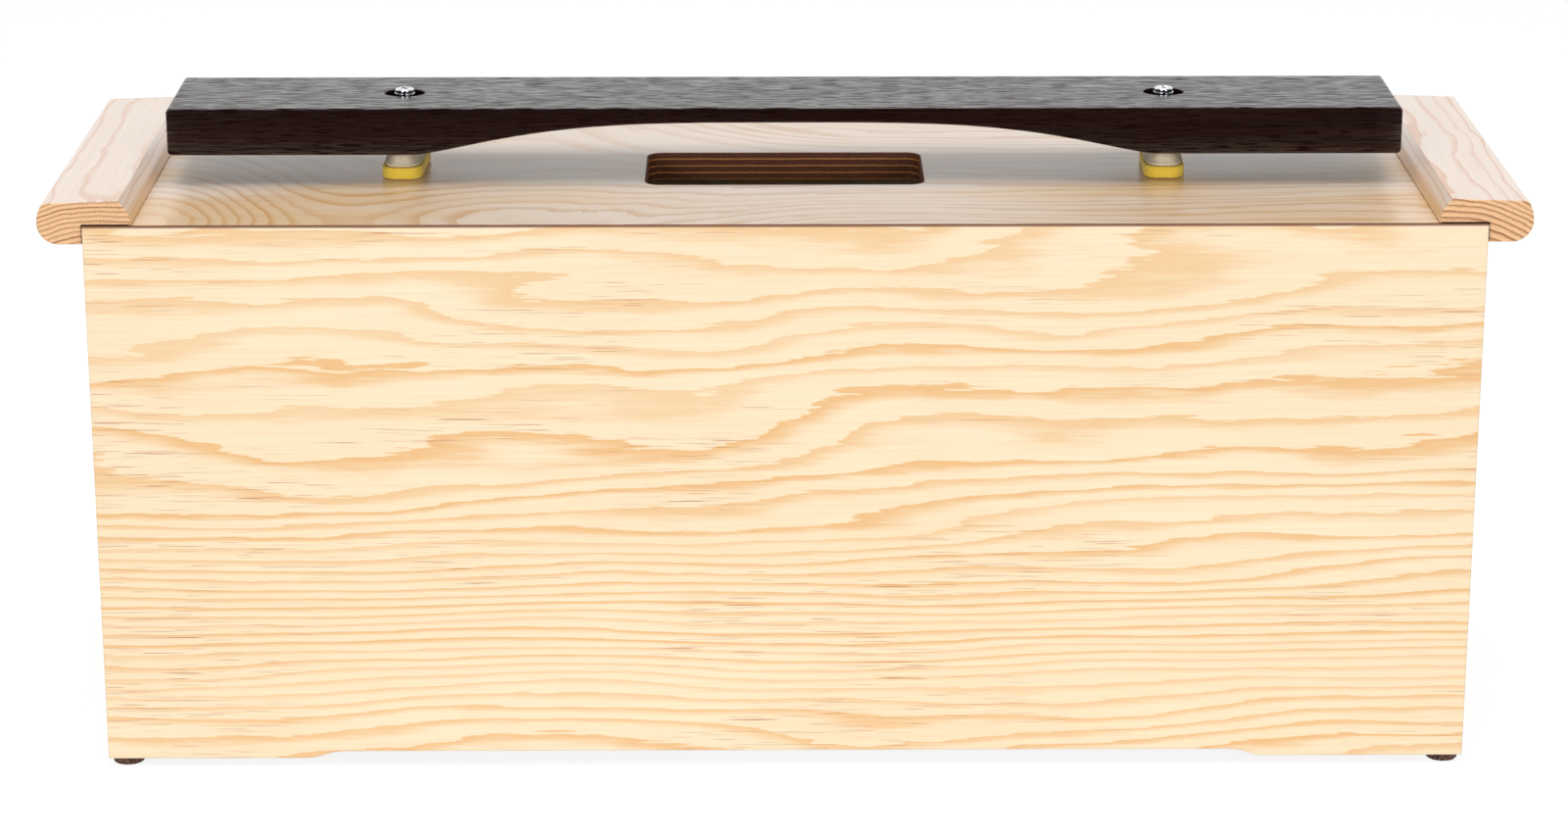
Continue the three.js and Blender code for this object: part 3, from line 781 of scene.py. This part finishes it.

# %% [markdown]
# ## The finish of the rails
# A rail's sawn ends drink more lacquer than its sides, so the rings there are orange and brown
# while the top is almost white. Both materials share one pattern, so that each ring runs over
# the edge. The heart of the tree lay some 75 to 85 mm under the rail. The inner face is tinted
# golden in a wide band above the deck, and a thin brown line at its foot is painted shade where
# the rail meets the deck.

# %% Rail materials
HEARTS = {"left": (-276, 166, 2.0, 75, 1.5), "right": (264, 161, 2.1, 84, 3.6)}
INNER_FACE = (0.270, 0.274)
# Reach above the deck in mm, greatest share and colour of two bands up the inner face: a wide
# golden band, and a thin brown line at the foot that is painted shade where the rail meets the
# deck.
INNER_FOOT_BANDS = ((9, 0.8, tint(230, 176, 104)), (0.8, 0.8, tint(150, 98, 60)))


def rail_rings(net, heart, late_share):
    """The place on the rail with its grain along X, and the late wood there. A heart is its X
    and Z, the ring width, the reference radius and the crowding."""
    x, z, ring_width, radius, crowding = heart
    place = net.placed(location=(0, -x * MM, -z * MM), turn=(0, 0, QUARTER))
    phase = place.through(LOG_RINGS, Ring_Width=ring_width * MM, Reference_Radius=radius * MM,
                          Crowding=crowding, Wander=0.0036)
    shades = phase.through(RING_SHADES, Late_Share=late_share)
    return place, shades["Late Wood"] * shades["Ring Tone"].between(0.6, 1.0)


def build_rail_end(net, heart):
    place, late = rail_rings(net, heart, 0.5)
    dots = place.noise((300.0, 2200.0, 2200.0))
    colour = net.mix(late, tint(243, 197, 148), tint(158, 94, 54))
    colour = net.mix(dots.smooth(0.5, 0.8, 0.0, 0.6), colour, tint(150, 96, 60))
    return colour, dots.smooth(0.3, 0.7, 0.46, 0.56), dots, 0.06


def build_rail_side(net, heart):
    place, late = rail_rings(net, heart, 0.28)
    grain, worn = place.through(GRAIN), place.through(EDGE_WEAR)
    x, _, up = net.coordinates()
    inner = abs(x).smooth(*INNER_FACE, 1.0, 0.0)
    # The inner face turns golden towards the deck, with a thin brown line of painted shade at its
    # foot.
    foot_bands = [(lacquer, inner, up.smooth((DECK_TOP + 0.3 * reach) * MM, (DECK_TOP + reach) * MM,
                                        share, 0.0)) for reach, share, lacquer in INNER_FOOT_BANDS]
    colour = net.stain(tint(245, 225, 208), (tint(221, 158, 114), late, 0.85),
                       (tint(204, 156, 116), grain["Fibres"], 0.22),
                       (tint(214, 160, 112), worn, 0.35), *foot_bands)
    return colour, grain["Cloud"].between(0.3, 0.38) + worn * 0.15, grain["Fibres"], 0.02


RAIL_FINISHES = {side: (material(f"{side}_rail_pine", build_rail_side, heart, Coat_Weight=0.6,
                                 Coat_Roughness=0.2),
                        material(f"{side}_rail_end_grain", build_rail_end, heart))
                 for side, heart in HEARTS.items()}

# %% [markdown]
# ## End rails
# Each rail is a length of pine, rebated over the corner of the box and rounded on the outside for
# the hands. A moulding cutter makes the real one in one pass, and here too one outline makes it
# all: a stack of boxes and cylinders would need seams along the nose.

# %% Rails
RAIL_HALF_LENGTH = 94.5
RAIL_TOP, RAIL_DROP, RAIL_FALL = 10.2, 7.8, 1
NOSE_RADIUS, BROW_RADIUS, RAIL_OUTER = 8.7, 14.5, 18.5
GLUE_LINE = 0.08
RAIL_EDGE = 0.5
DOWEL_IN_RAIL = 6.8
END_GRAIN_FROM = 0.05


def rail_outline():
    """Millimetres out from the box's side wall and up from the deck, anticlockwise: the rebate's
    corner, the inner face with its chamfer, the long top, and a nose of two arcs."""
    nose_z = NOSE_RADIUS - RAIL_DROP
    brow_turn = math.asin((RAIL_TOP - RAIL_FALL - nose_z) / BROW_RADIUS)
    brow = arc((BROW_RADIUS - RAIL_OUTER, nose_z), BROW_RADIUS, math.pi - brow_turn, math.pi, 9)
    nose = arc((NOSE_RADIUS - RAIL_OUTER, nose_z), NOSE_RADIUS, math.pi, 3 * QUARTER, 16)
    corners = [(-GLUE_LINE, GLUE_LINE), (20, GLUE_LINE), (18.8, 5.6), (14.8, RAIL_TOP)]
    corners = np.vstack([corners, brow, nose[1:], [(-GLUE_LINE, -RAIL_DROP)]])
    radii = np.full(len(corners), 0.001)
    radii[1:5] = (0.5, 0.9, 0.9, 1.2)
    radii[-1] = 0.5
    return rounded(corners, radii)


def make_rail(side, sign):
    """The left rail is the outline as drawn, and the right one is its mirror image, run the other
    way round so that it stays anticlockwise."""
    outline = rail_outline()
    outline[:, 0] = sign * HALF_WIDTH - sign * outline[:, 0]
    rail = beam(f"{side}_end_rail", outline if sign < 0 else outline[::-1], RAIL_HALF_LENGTH,
                RAIL_EDGE, DECK_TOP, regions=lambda draw: np.where(draw > END_GRAIN_FROM, 1, 0))
    carve(rail, [drill(DOWEL_HOLE, sign * DOWEL_X, y, DECK_TOP - 1, DECK_TOP + DOWEL_IN_RAIL)
                 for y in DOWEL_ROWS])
    belongs(rail, f"{side}_rail", "rail_pine", *RAIL_FINISHES[side])


for side, sign in SIDES.items():
    make_rail(side, sign)

# %% [markdown]
# ## The finish of the tone bar
# The bar is a dense dark wood. Its sides are nearly black, and its top looks grey only because it
# mirrors the bright room at a low angle through thousands of open pores. So the grey isn't
# painted: the pores and streaks only make the clear coat come and go, in long streaks on the
# sides and in short dashes on the planed top.

# %% Bar material
BAR_DARK, BAR_BROWN = tint(21, 2, 1), tint(32, 5, 3)
SIDE_STREAKS, TOP_DASHES = (14.0, 900.0, 900.0, 1.0), (110.0, 700.0, 700.0, 1.0)


def build_bar(net):
    place = net.placed()
    grain, worn = place.through(GRAIN), place.through(EDGE_WEAR)
    open_pores = place.noise((80.0, 1700.0, 1700.0), detail=1.0).smooth(0.54, 0.59)
    bands = place.noise((3.0, 170.0, 170.0), detail=3.0).smooth(0.35, 0.65)
    colour = net.stain(net.mix(bands, BAR_DARK, BAR_BROWN), (tint(36, 10, 6), grain["Fibres"], 0.3),
                       (tint(12, 4, 4), open_pores, 0.35), (tint(58, 28, 20), worn, 0.4))
    streaks = place.noise(net.mix(facing(net, "Z"), SIDE_STREAKS, TOP_DASHES))
    closed = 1.0 - open_pores
    return (colour, grain["Fibres"].between(0.34, 0.46), closed, 0.002,
            closed * streaks.smooth(0.38, 0.6, 0.45, 1.0))


BAR_WOOD = material("dark_bar_wood", build_bar, Coat_Roughness=0.2, Coat_IOR=1.8,
                    Specular_IOR_Level=0.06)

# %% [markdown]
# ## The tone bar
# The bar is tuned by hollowing its underside between the posts, and the curve of that hollow is
# what an eye knows it by. The outline of its side is carried across the bar, and the two oval
# holes are cut with a peg that flares at the top, which leaves a round rim.

# %% Bar
BAR_HALF_LENGTH, BAR_HALF_WIDTH, BAR_THICKNESS = 258.5, 30, 20
BAR_CORNER, BAR_EDGE = 2, 0.7
BAR_UNDERSIDE = DECK_TOP + 13.4
ARCH_DEPTH, ARCH_REACH, ARCH_POWER, ARCH_START = 13.6, 155.5, 3.6, 1.45
HOLE_HALF = (8.5, 7.2)
HOLE_RIM = 0.5


def bar_outline():
    """Four rounded corners, with the arch in the lower side: rise = depth x (1 - |x / reach| to
    the power) to the start exponent, with its points closer together at both ends."""
    x = ARCH_REACH * np.cos(np.linspace(math.pi, 0, 161))
    rise = ARCH_DEPTH * (1 - np.abs(x / ARCH_REACH) ** ARCH_POWER) ** ARCH_START
    corners = rounded([(-BAR_HALF_LENGTH, 0), (BAR_HALF_LENGTH, 0),
                       (BAR_HALF_LENGTH, BAR_THICKNESS), (-BAR_HALF_LENGTH, BAR_THICKNESS)],
                      [BAR_CORNER] * 4, 8)
    first = np.argmin(np.abs(corners[:, 0] + BAR_HALF_LENGTH - BAR_CORNER) + corners[:, 1])
    corners = np.roll(corners, -first - 1, axis=0)
    return np.vstack([np.column_stack([x, rise]), corners])


def hole_peg(x):
    """An oval that stands at x and flares by the rim's radius just below the bar's top."""
    turn = np.linspace(0, QUARTER, 6)
    flare = np.r_[0, HOLE_RIM * (1 - np.cos(turn))]
    height = np.r_[-1, BAR_THICKNESS - HOLE_RIM * (1 - np.sin(turn))]
    rows = [level(oval(HOLE_HALF[0] + grow, HOLE_HALF[1] + grow, 96), z)
            for grow, z in zip(flare, height)]
    rows += [rows[-1] + (0, 0, 1)]
    return skin("cutter", np.stack(rows) + (x, 0, BAR_UNDERSIDE))


def make_bar():
    bar = beam("tone_bar_wood", bar_outline(), BAR_HALF_WIDTH, BAR_EDGE, BAR_UNDERSIDE)
    carve(bar, [hole_peg(sign * POST_X) for sign in SIDES.values()])
    belongs(bar, "tone_bar", "dark_hardwood", BAR_WOOD)


make_bar()

# %% [markdown]
# ## The finish of felt and foam
# Felt is pressed wool: no weave, only short fibres that lie every way, with a soft edge to the
# light. Foam is the same with a finer skin. One group gives the mottling, and a little sheen the
# soft edge. Hairs as geometry would be far too many for pieces of this size.

# %% Felt materials
def build_nap(given):
    """Shade: soft mottling with thin crossing fibres. Height: the fibres alone."""
    fibres = given["Vector"].noise(2600.0, detail=4.0, roughness=0.7)
    mottle = given["Vector"].noise(500.0, detail=3.0)
    return (fibres * 0.6 + mottle * 0.4).smooth(0.36, 0.64), fibres


NAP = node_group("nap", {"Vector": None}, ("Shade", "Height"), build_nap)


def build_soft(net, light, dark, depth, fleck):
    """Felt or foam by the shade and height of its nap, with a share of pale flecks."""
    place = net.placed()
    nap = place.through(NAP)
    flecks = place.noise(1300.0).smooth(0.5, 0.6, 0.0, fleck)
    colour = net.mix(flecks, net.mix(nap["Shade"], dark, light), tint(176, 136, 116))
    return colour, 0.92, nap["Height"], depth


YELLOW_FELT = material("yellow_felt", build_soft, tint(255, 228, 84), tint(255, 208, 50), 0.25,
                       0.0, Sheen_Weight=0.25, Sheen_Roughness=0.6)
CREAM_FOAM = material("cream_foam", build_soft, tint(242, 232, 207), tint(219, 205, 176), 0.15,
                      0.0, Sheen_Weight=0.1)
BROWN_FELT = material("brown_felt", build_soft, tint(104, 70, 52), tint(32, 19, 13), 0.35, 0.35,
                      Sheen_Weight=0.1)

# %% [markdown]
# ## Pads, cushions and feet
# Under each end of the bar a yellow felt pad carries a cream foam ridge, and four felt discs keep
# the box off the table. They are dense pads that are cut and moulded, not sewn and stuffed, and
# only some 17 mm wide, so a cloth simulation would have nothing to blow up. Their forms are
# made directly, and a sum of many small waves in random directions moves each point a little, so
# that no edge is quite straight.

# %% Pads, cushions and feet
SLEEVE_HOLE = 7.6
PAD_HALF, PAD_CORNER, PAD_THICKNESS, PAD_EDGES = (8.6, 20), 6.6, 5, (0.7, 0.3)
PAD_TURNS = {"left": -2.5, "right": -1.7}
FLANGE_HALF, FLANGE_HEIGHT = (8, 19.4), 1.1
FLANGE_ROWS = ((0.35, 0), (0.08, 0.12), (0, 0.35), (0, 0.75), (0.1, 1.0), (0.4, 1.1))
RIDGE_HALF, RIDGE_TAPER, RIDGE_TURN = (6.3, 18.0), 5, 0.38 * math.pi
FLARE, FLARE_HEIGHT = 1.1, 0.9
CUSHION_HEIGHT, SQUARENESS = 7.5, 3.2
CUSHION_SEAT = SEAT_GAP + PAD_THICKNESS + SEAT_GAP
FOOT_RADIUS, FOOT_HEIGHT, FOOT_EDGE = 6.5, 3, 0.6
FOOT_X, FOOT_Y = 277.5, {"front": -89, "back": 89}


def ruffled(wavelength, depth, seed, waves=40):
    """A function that shifts each point by a sum of sine waves. Each wave has a random direction
    and phase and pushes its own random way, and together they move a point by about depth."""
    rng = np.random.default_rng(seed)
    runs = unit(rng.normal(size=(waves, 3))) * 2 * math.pi / wavelength
    runs *= rng.uniform(0.6, 1.5, (waves, 1))
    phases, pushes = rng.uniform(0, 2 * math.pi, waves), rng.normal(size=(waves, 3))
    scale = depth * math.sqrt(2 / waves)
    return lambda points: points + np.sin(points @ runs.T + phases) @ pushes * scale


def circle_beside(outline, diameter):
    """The circle that has one point in the direction of each point of the outline."""
    return unit(outline) * diameter / 2


def turned_about(points, degrees):
    """Points turned anticlockwise about the Z axis, seen from above."""
    angle = math.radians(degrees)
    east, north = points[..., 0], points[..., 1].copy()
    points[..., 1] = east * math.sin(angle) + north * math.cos(angle)
    points[..., 0] = east * math.cos(angle) - north * math.sin(angle)
    return points


def make_base_pad(side, sign, seed):
    def outer(draw):
        outline = rounded_rectangle(*(half - draw for half in (*PAD_HALF, PAD_CORNER)), 20, 16)
        return turned_about(outline, PAD_TURNS[side])

    def inner(draw):
        return circle_beside(outer(0), SLEEVE_HOLE + 2 * draw)

    pad = plate(f"{side}_felt_base", outer, inner, PAD_THICKNESS, PAD_EDGES,
                (sign * POST_X, 0, DECK_TOP + SEAT_GAP), rough=ruffled(1.6, 0.035, seed))
    belongs(pad, f"{side}_base_pad", "yellow_felt", YELLOW_FELT)


def make_cushion(side, sign, seed):
    """Rows go out over the underside, round the thin flange, and up the ridge, whose section
    curls over as half width x cosine of the turn and flange height + climb x its sine. Its foot
    flares into the flange by the flare x e to the power of minus the rise / flare height."""
    def outline(half_x, half_y):
        return oval(half_x, half_y, 192, SQUARENESS)

    hole = circle_beside(outline(1, 1), SLEEVE_HOLE)
    climb = (CUSHION_HEIGHT - FLANGE_HEIGHT) / math.sin(RIDGE_TURN)
    rows = [level(hole, 0)]
    rows += [level(outline(FLANGE_HALF[0] - draw, FLANGE_HALF[1] - draw), height)
             for draw, height in FLANGE_ROWS]
    for turn in np.linspace(0.01, 1, 24) * RIDGE_TURN:
        rise = climb * math.sin(turn)
        flare = FLARE * math.exp(-rise / FLARE_HEIGHT)
        half_y = RIDGE_HALF[1] - RIDGE_TAPER * (1 - math.cos(turn)) + flare
        rows.append(level(outline(RIDGE_HALF[0] * math.cos(turn) + flare, half_y),
                          FLANGE_HEIGHT + rise))
    rows.append(level(hole, CUSHION_HEIGHT))
    points = turned_about(ruffled(2.2, 0.03, seed)(np.stack(rows)), PAD_TURNS[side])
    cushion = skin(f"{side}_foam_cushion", points + (sign * POST_X, 0, DECK_TOP + CUSHION_SEAT),
                   closed=True)
    belongs(cushion, f"{side}_cushion", "cream_cushion", CREAM_FOAM)


def make_foot(corner, x, y, seed):
    """A disc with rounded edges, whose top and bottom stay flat."""
    draw, height = edge_steps(FOOT_HEIGHT, FOOT_EDGE)
    profile = [(0, 0), (3, 0), *zip(FOOT_RADIUS - draw, height), (3, FOOT_HEIGHT),
               (0, FOOT_HEIGHT)]
    points = ruffled(1.4, 0.04, seed)(turned(profile, 72))
    points[..., 2] = np.clip(points[..., 2], 0, FOOT_HEIGHT)
    foot = skin(f"{corner}_felt_foot", points + (x, y, 0))
    belongs(foot, f"foot_{corner}", "brown_felt", BROWN_FELT)


for number, (side, sign) in enumerate(SIDES.items()):
    make_base_pad(side, sign, 11 + number)
    make_cushion(side, sign, 21 + number)
    for corner_number, (depth, y) in enumerate(FOOT_Y.items()):
        make_foot(f"{depth}_{side}", sign * FOOT_X, y, 31 + 2 * number + corner_number)

# %% [markdown]
# ## The finish of metal and rubber
# The screws and washers are plated: a mirror with faint turning marks, a little dullness in
# patches and painted shade, a dark grey, in the driver's recess. A mask finds the recess by its
# place. Painting it face by face would work too, but would be lost if the mesh changed.

# %% Metal and rubber materials
HEAD_RADIUS, HEAD_HEIGHT, HEAD_CURVE = 4, 1.65, 0.5
HEAD_SEAT = DECK_TOP + 33.75
RECESS_HALF, RECESS_ARM, RECESS_DEPTH = 2.2, 0.55, 1.5
# A dark grey painted into the driver's recess as shade.
RECESS_SHADE = tint(30, 31, 34)


def in_recess(net):
    """1 in the driver's cross: close to the screw's axis, and under the head's top but not below
    the head."""
    x, y, up = net.coordinates()
    x = abs(x) - POST_X * MM
    near = x * x + y * y < (RECESS_HALF * MM) ** 2
    top = HEAD_SEAT + HEAD_HEIGHT
    low = up.smooth((top - 0.7) * MM, (top - 0.25) * MM, 1.0, 0.0)
    return near * low * (up > (HEAD_SEAT + 0.05) * MM)


def build_plating(net, light, dark, low, high):
    """low and high are the roughness where the plating is bright and where it is dull."""
    place = net.placed()
    dull = place.noise(900.0, detail=3.0)
    # The driver's recess is darkened with painted shade.
    colour = net.stain(net.mix(dull.smooth(0.4, 0.7), light, dark), (RECESS_SHADE, in_recess(net), 0.9))
    marks = place.noise((120.0, 120.0, 5200.0))
    return colour, dull.smooth(0.35, 0.7, low, high), marks, 0.006


def build_rubber(net):
    nap = net.placed().through(NAP)
    return net.mix(nap["Shade"], tint(22, 22, 24), tint(34, 34, 36)), 0.6, nap["Height"], 0.03


CHROME = material("bright_plating", build_plating, tint(238, 240, 243), tint(208, 212, 218), 0.08,
                  0.2, Metallic=1.0)
SPRING_STEEL = material("spring_steel", build_plating, tint(222, 224, 228), tint(180, 184, 190),
                        0.16, 0.32, Metallic=1.0)
RUBBER = material("black_rubber", build_rubber)

# %% [markdown]
# ## Screws, washers and sleeves
# The bar lies loose between two screws. Each has a pan head with a cross recess over a split
# spring washer, and a rubber sleeve round its shank so that the bar can't rattle. The thread is
# one more grid: the radius at each height and angle rises where the height in pitches, less the
# share of a turn, comes near a half past a whole number.

# %% Screws
SCREW_LENGTH, TIP_LENGTH, THREAD_LENGTH = 59, 5, 26
CORE_RADIUS, SHANK_RADIUS, PITCH, RIDGE_WIDTH = 1.45, 2, 1.5, 0.22
NECK_RADIUS, HEAD_BREAK, DOME = 2.2, 0.12, 0.2
RECESS_TURNS = {"left": 28, "right": 12}
WASHER_RADII, WASHER_THICKNESS, WASHER_EDGE = (4.3, 2.35), 0.9, 0.2
WASHER_TURN, WASHER_CLIMB, WASHER_STEPS = (-82, 264), (-0.2, 0.1), 120
WASHER_SEAT = HEAD_SEAT - 1.05
SLEEVE_RADII, SLEEVE_LENGTH, SLEEVE_EDGES = (3.5, 2.3), 31.1, (0.3, 0.2)


def screw_points(columns=40):
    """Rows from the tip to the middle of the head, which has an upright side, a rounded shoulder
    and a slightly domed top. Thread: core radius plus a ridge that is one at half a pitch and
    falls to nothing about a fifth of a pitch away."""
    angle = 2 * math.pi * np.arange(columns)[None, :] / columns
    height = np.arange(-SCREW_LENGTH, THREAD_LENGTH - SCREW_LENGTH, PITCH / 8)[:, None]
    phase = height / PITCH - angle / (2 * math.pi)
    ridge = np.clip(1 - np.abs((phase % 1) - 0.5) / RIDGE_WIDTH, 0, 1)
    taper = np.clip((height + SCREW_LENGTH) / TIP_LENGTH, 0, 1)
    fade = np.clip((THREAD_LENGTH - SCREW_LENGTH - height) / PITCH, 0, 1)
    crest = np.maximum(ridge * fade, 1 - fade)
    radius = taper * (CORE_RADIUS + (SHANK_RADIUS - CORE_RADIUS) * crest)
    thread = np.stack([radius * np.cos(angle), radius * np.sin(angle),
                       np.broadcast_to(height, radius.shape)], axis=2)
    turn = np.linspace(0, QUARTER, 7)
    flat = HEAD_RADIUS - HEAD_CURVE
    profile = [(SHANK_RADIUS, THREAD_LENGTH - SCREW_LENGTH), (SHANK_RADIUS, -0.2),
               (NECK_RADIUS, 0), (HEAD_RADIUS - HEAD_BREAK, 0), (HEAD_RADIUS, HEAD_BREAK)]
    profile += zip(HEAD_RADIUS - HEAD_CURVE * (1 - np.cos(turn)),
                   HEAD_HEIGHT - DOME - HEAD_CURVE * (1 - np.sin(turn)))
    profile += [(radius, HEAD_HEIGHT - DOME * (radius / flat) ** 2)
                for radius in np.linspace(1, 0, 7)[1:] * flat]
    return np.concatenate([thread, turned(profile, columns)])


def recess_cutter():
    """A cross of twelve corners that narrows with depth, as the driver's tip does."""
    corner = np.array([(RECESS_HALF, -RECESS_ARM), (RECESS_HALF, RECESS_ARM),
                       (RECESS_ARM, RECESS_ARM)])
    cross = [corner]
    for _ in range(3):
        cross.append(to_the_left(cross[-1]))
    cross = np.vstack(cross)
    return np.stack([level(cross * share, HEAD_HEIGHT - RECESS_DEPTH * depth)
                     for share, depth in ((0.45, 1), (0.62, 0.85), (1, 0), (1.3, -0.8))])


def make_screw(side, sign):
    place = np.array((sign * POST_X, 0, HEAD_SEAT))
    screw = skin(f"{side}_pan_head_screw", screw_points() + place)
    carve(screw, [skin("cutter", turned_about(recess_cutter(), RECESS_TURNS[side]) + place)])
    belongs(screw, f"{side}_bar_screw", "chrome", CHROME)


def make_washer(side, sign):
    """A small section carried along a circle that climbs a little and stops short of itself."""
    draw, height = edge_steps(WASHER_THICKNESS, WASHER_EDGE, 3)
    outer, inner = WASHER_RADII
    section = np.vstack([np.column_stack([outer - draw, height]),
                         np.column_stack([inner + draw, height])[::-1]])
    angle = np.radians(np.linspace(*WASHER_TURN, WASHER_STEPS))[:, None]
    climb = np.linspace(*WASHER_CLIMB, WASHER_STEPS)[:, None]
    points = np.stack([section[:, 0] * np.cos(angle), section[:, 0] * np.sin(angle),
                       section[:, 1] + climb], axis=2)
    washer = skin(f"{side}_spring_washer", points + (sign * POST_X, 0, WASHER_SEAT))
    belongs(washer, f"{side}_washer", "steel", SPRING_STEEL)


def make_sleeve(side, sign):
    def wall(radius, way):
        return lambda draw: oval(radius + way * draw, radius + way * draw, 64)

    outer, inner = SLEEVE_RADII
    sleeve = plate(f"{side}_rubber_sleeve", wall(outer, -1), wall(inner, 1), SLEEVE_LENGTH,
                   SLEEVE_EDGES, (sign * POST_X, 0, DECK_TOP + SEAT_GAP))
    belongs(sleeve, f"{side}_sleeve", "black_rubber", RUBBER)


for side, sign in SIDES.items():
    make_screw(side, sign)
    make_washer(side, sign)
    make_sleeve(side, sign)

# %% [markdown]
# ## The floor
# The photograph is on plain white. Brighter lamps would turn the floor white and bleach the
# pale wood with it. So the lamps stay at a level where a colour looks as it is written, and the
# floor adds a little light of its own, only for rays that come from the camera or from a
# reflection. It still darkens where the box keeps the lamps off.

# %% Floor
PAPER_GLOW = 0.87
FLOOR_REACH, FLOOR_HEIGHT = 14, -0.0002


def add_floor():
    """A large white sheet. The camera and reflections see its own glow and part of its shading,
    which keeps a faint shadow. Reflections lose it towards the camera's side of the room. From
    below it is clear, so that the underside can be looked at."""
    mesh = bpy.data.meshes.new("floor")
    corners = np.array([(-1, -1, 0), (1, -1, 0), (1, 1, 0), (-1, 1, 0)]) * FLOOR_REACH
    mesh.from_pydata(corners.tolist(), [], [(0, 1, 2, 3)])
    floor = add_object("floor", mesh)
    floor.location.z = FLOOR_HEIGHT
    paint = bpy.data.materials.new("white_floor")
    paint.use_nodes = True
    net = Network(paint.node_tree)
    net.tree.nodes.remove(net.tree.nodes["Principled BSDF"])
    path = net.add("ShaderNodeLightPath")
    shown = path["Is Camera Ray"] | net.coordinates()["Y"].smooth(-0.45, -0.12)
    glow = net.add("ShaderNodeEmission", Color=(1, 1, 1, 1), Strength=shown * PAPER_GLOW)
    dim = net.add("ShaderNodeBsdfDiffuse",
                  Color=net.mix(shown, tint(20, 20, 20), tint(125, 125, 125)))
    lit = net.add("ShaderNodeBsdfDiffuse", Color=tint(235, 235, 235))
    seen = net.add("ShaderNodeAddShader", values=(glow, dim))
    seeing = path["Is Camera Ray"] | path["Is Glossy Ray"] | path["Is Transmission Ray"]
    paper = net.add("ShaderNodeMixShader", values=(seeing, lit, seen))
    below = net.add("ShaderNodeNewGeometry")["Backfacing"]
    clear = net.add("ShaderNodeBsdfTransparent")
    net.feed(net.tree.nodes["Material Output"].inputs[0],
             net.add("ShaderNodeMixShader", values=(below, paper, clear)))
    mesh.materials.append(paint)
    print("the floor is", 2 * FLOOR_REACH, "m wide")


add_floor()

# %% [markdown]
# ## Room and lamps
# The object stands in a white studio: a bright backdrop behind it, which gives the lacquer its
# pale shine, and a dim room in front. Two soft lamps at the front light the wood evenly from
# both sides, and one above lights the rails and the deck.

# %% Room and lamps
AMBIENT = 0.38
ROOM_FRONT = 0.04
LAMPS = {"key": ((-1.3, -2.7, 0.8), 0.15, 1.2, 25), "fill": ((1.5, -2.6, 0.7), 0.15, 1.2, 20),
         "top": ((0.0, -0.3, 2.4), 0.2, 1.8, 30)}


def add_world():
    """Soft white light from all round. Reflections see a white backdrop behind the object and a
    dimmer room in front of it, where the camera stands."""
    world = bpy.data.worlds.new("studio")
    world.use_nodes = True
    bpy.context.scene.world = world
    net = Network(world.node_tree)
    room = net.coordinates("Generated")["Y"].smooth(-0.25, 0.35, ROOM_FRONT, 1.0)
    path = net.add("ShaderNodeLightPath")
    mirror = path["Is Glossy Ray"] | path["Is Transmission Ray"]
    background = net.tree.nodes["Background"]
    background.inputs["Color"].default_value = (1, 1, 1, 1)
    net.feed(background.inputs["Strength"],
             path["Is Camera Ray"] | mirror * room | (1.0 - mirror) * AMBIENT)


def add_lamp(name, place, target_height, size, power):
    """A square soft light that looks at a point above the origin."""
    data = bpy.data.lights.new(name, "AREA")
    data.size, data.energy = size, power
    lamp = add_object(name, data)
    lamp.location = place
    aim = mathutils.Vector((0, 0, target_height)) - lamp.location
    lamp.rotation_euler = aim.to_track_quat("-Z", "Y").to_euler()
    print(name, "lamp:", power, "W")


add_world()
for name, values in LAMPS.items():
    add_lamp(name, *values)
bpy.context.scene.view_settings.view_transform = "Standard"
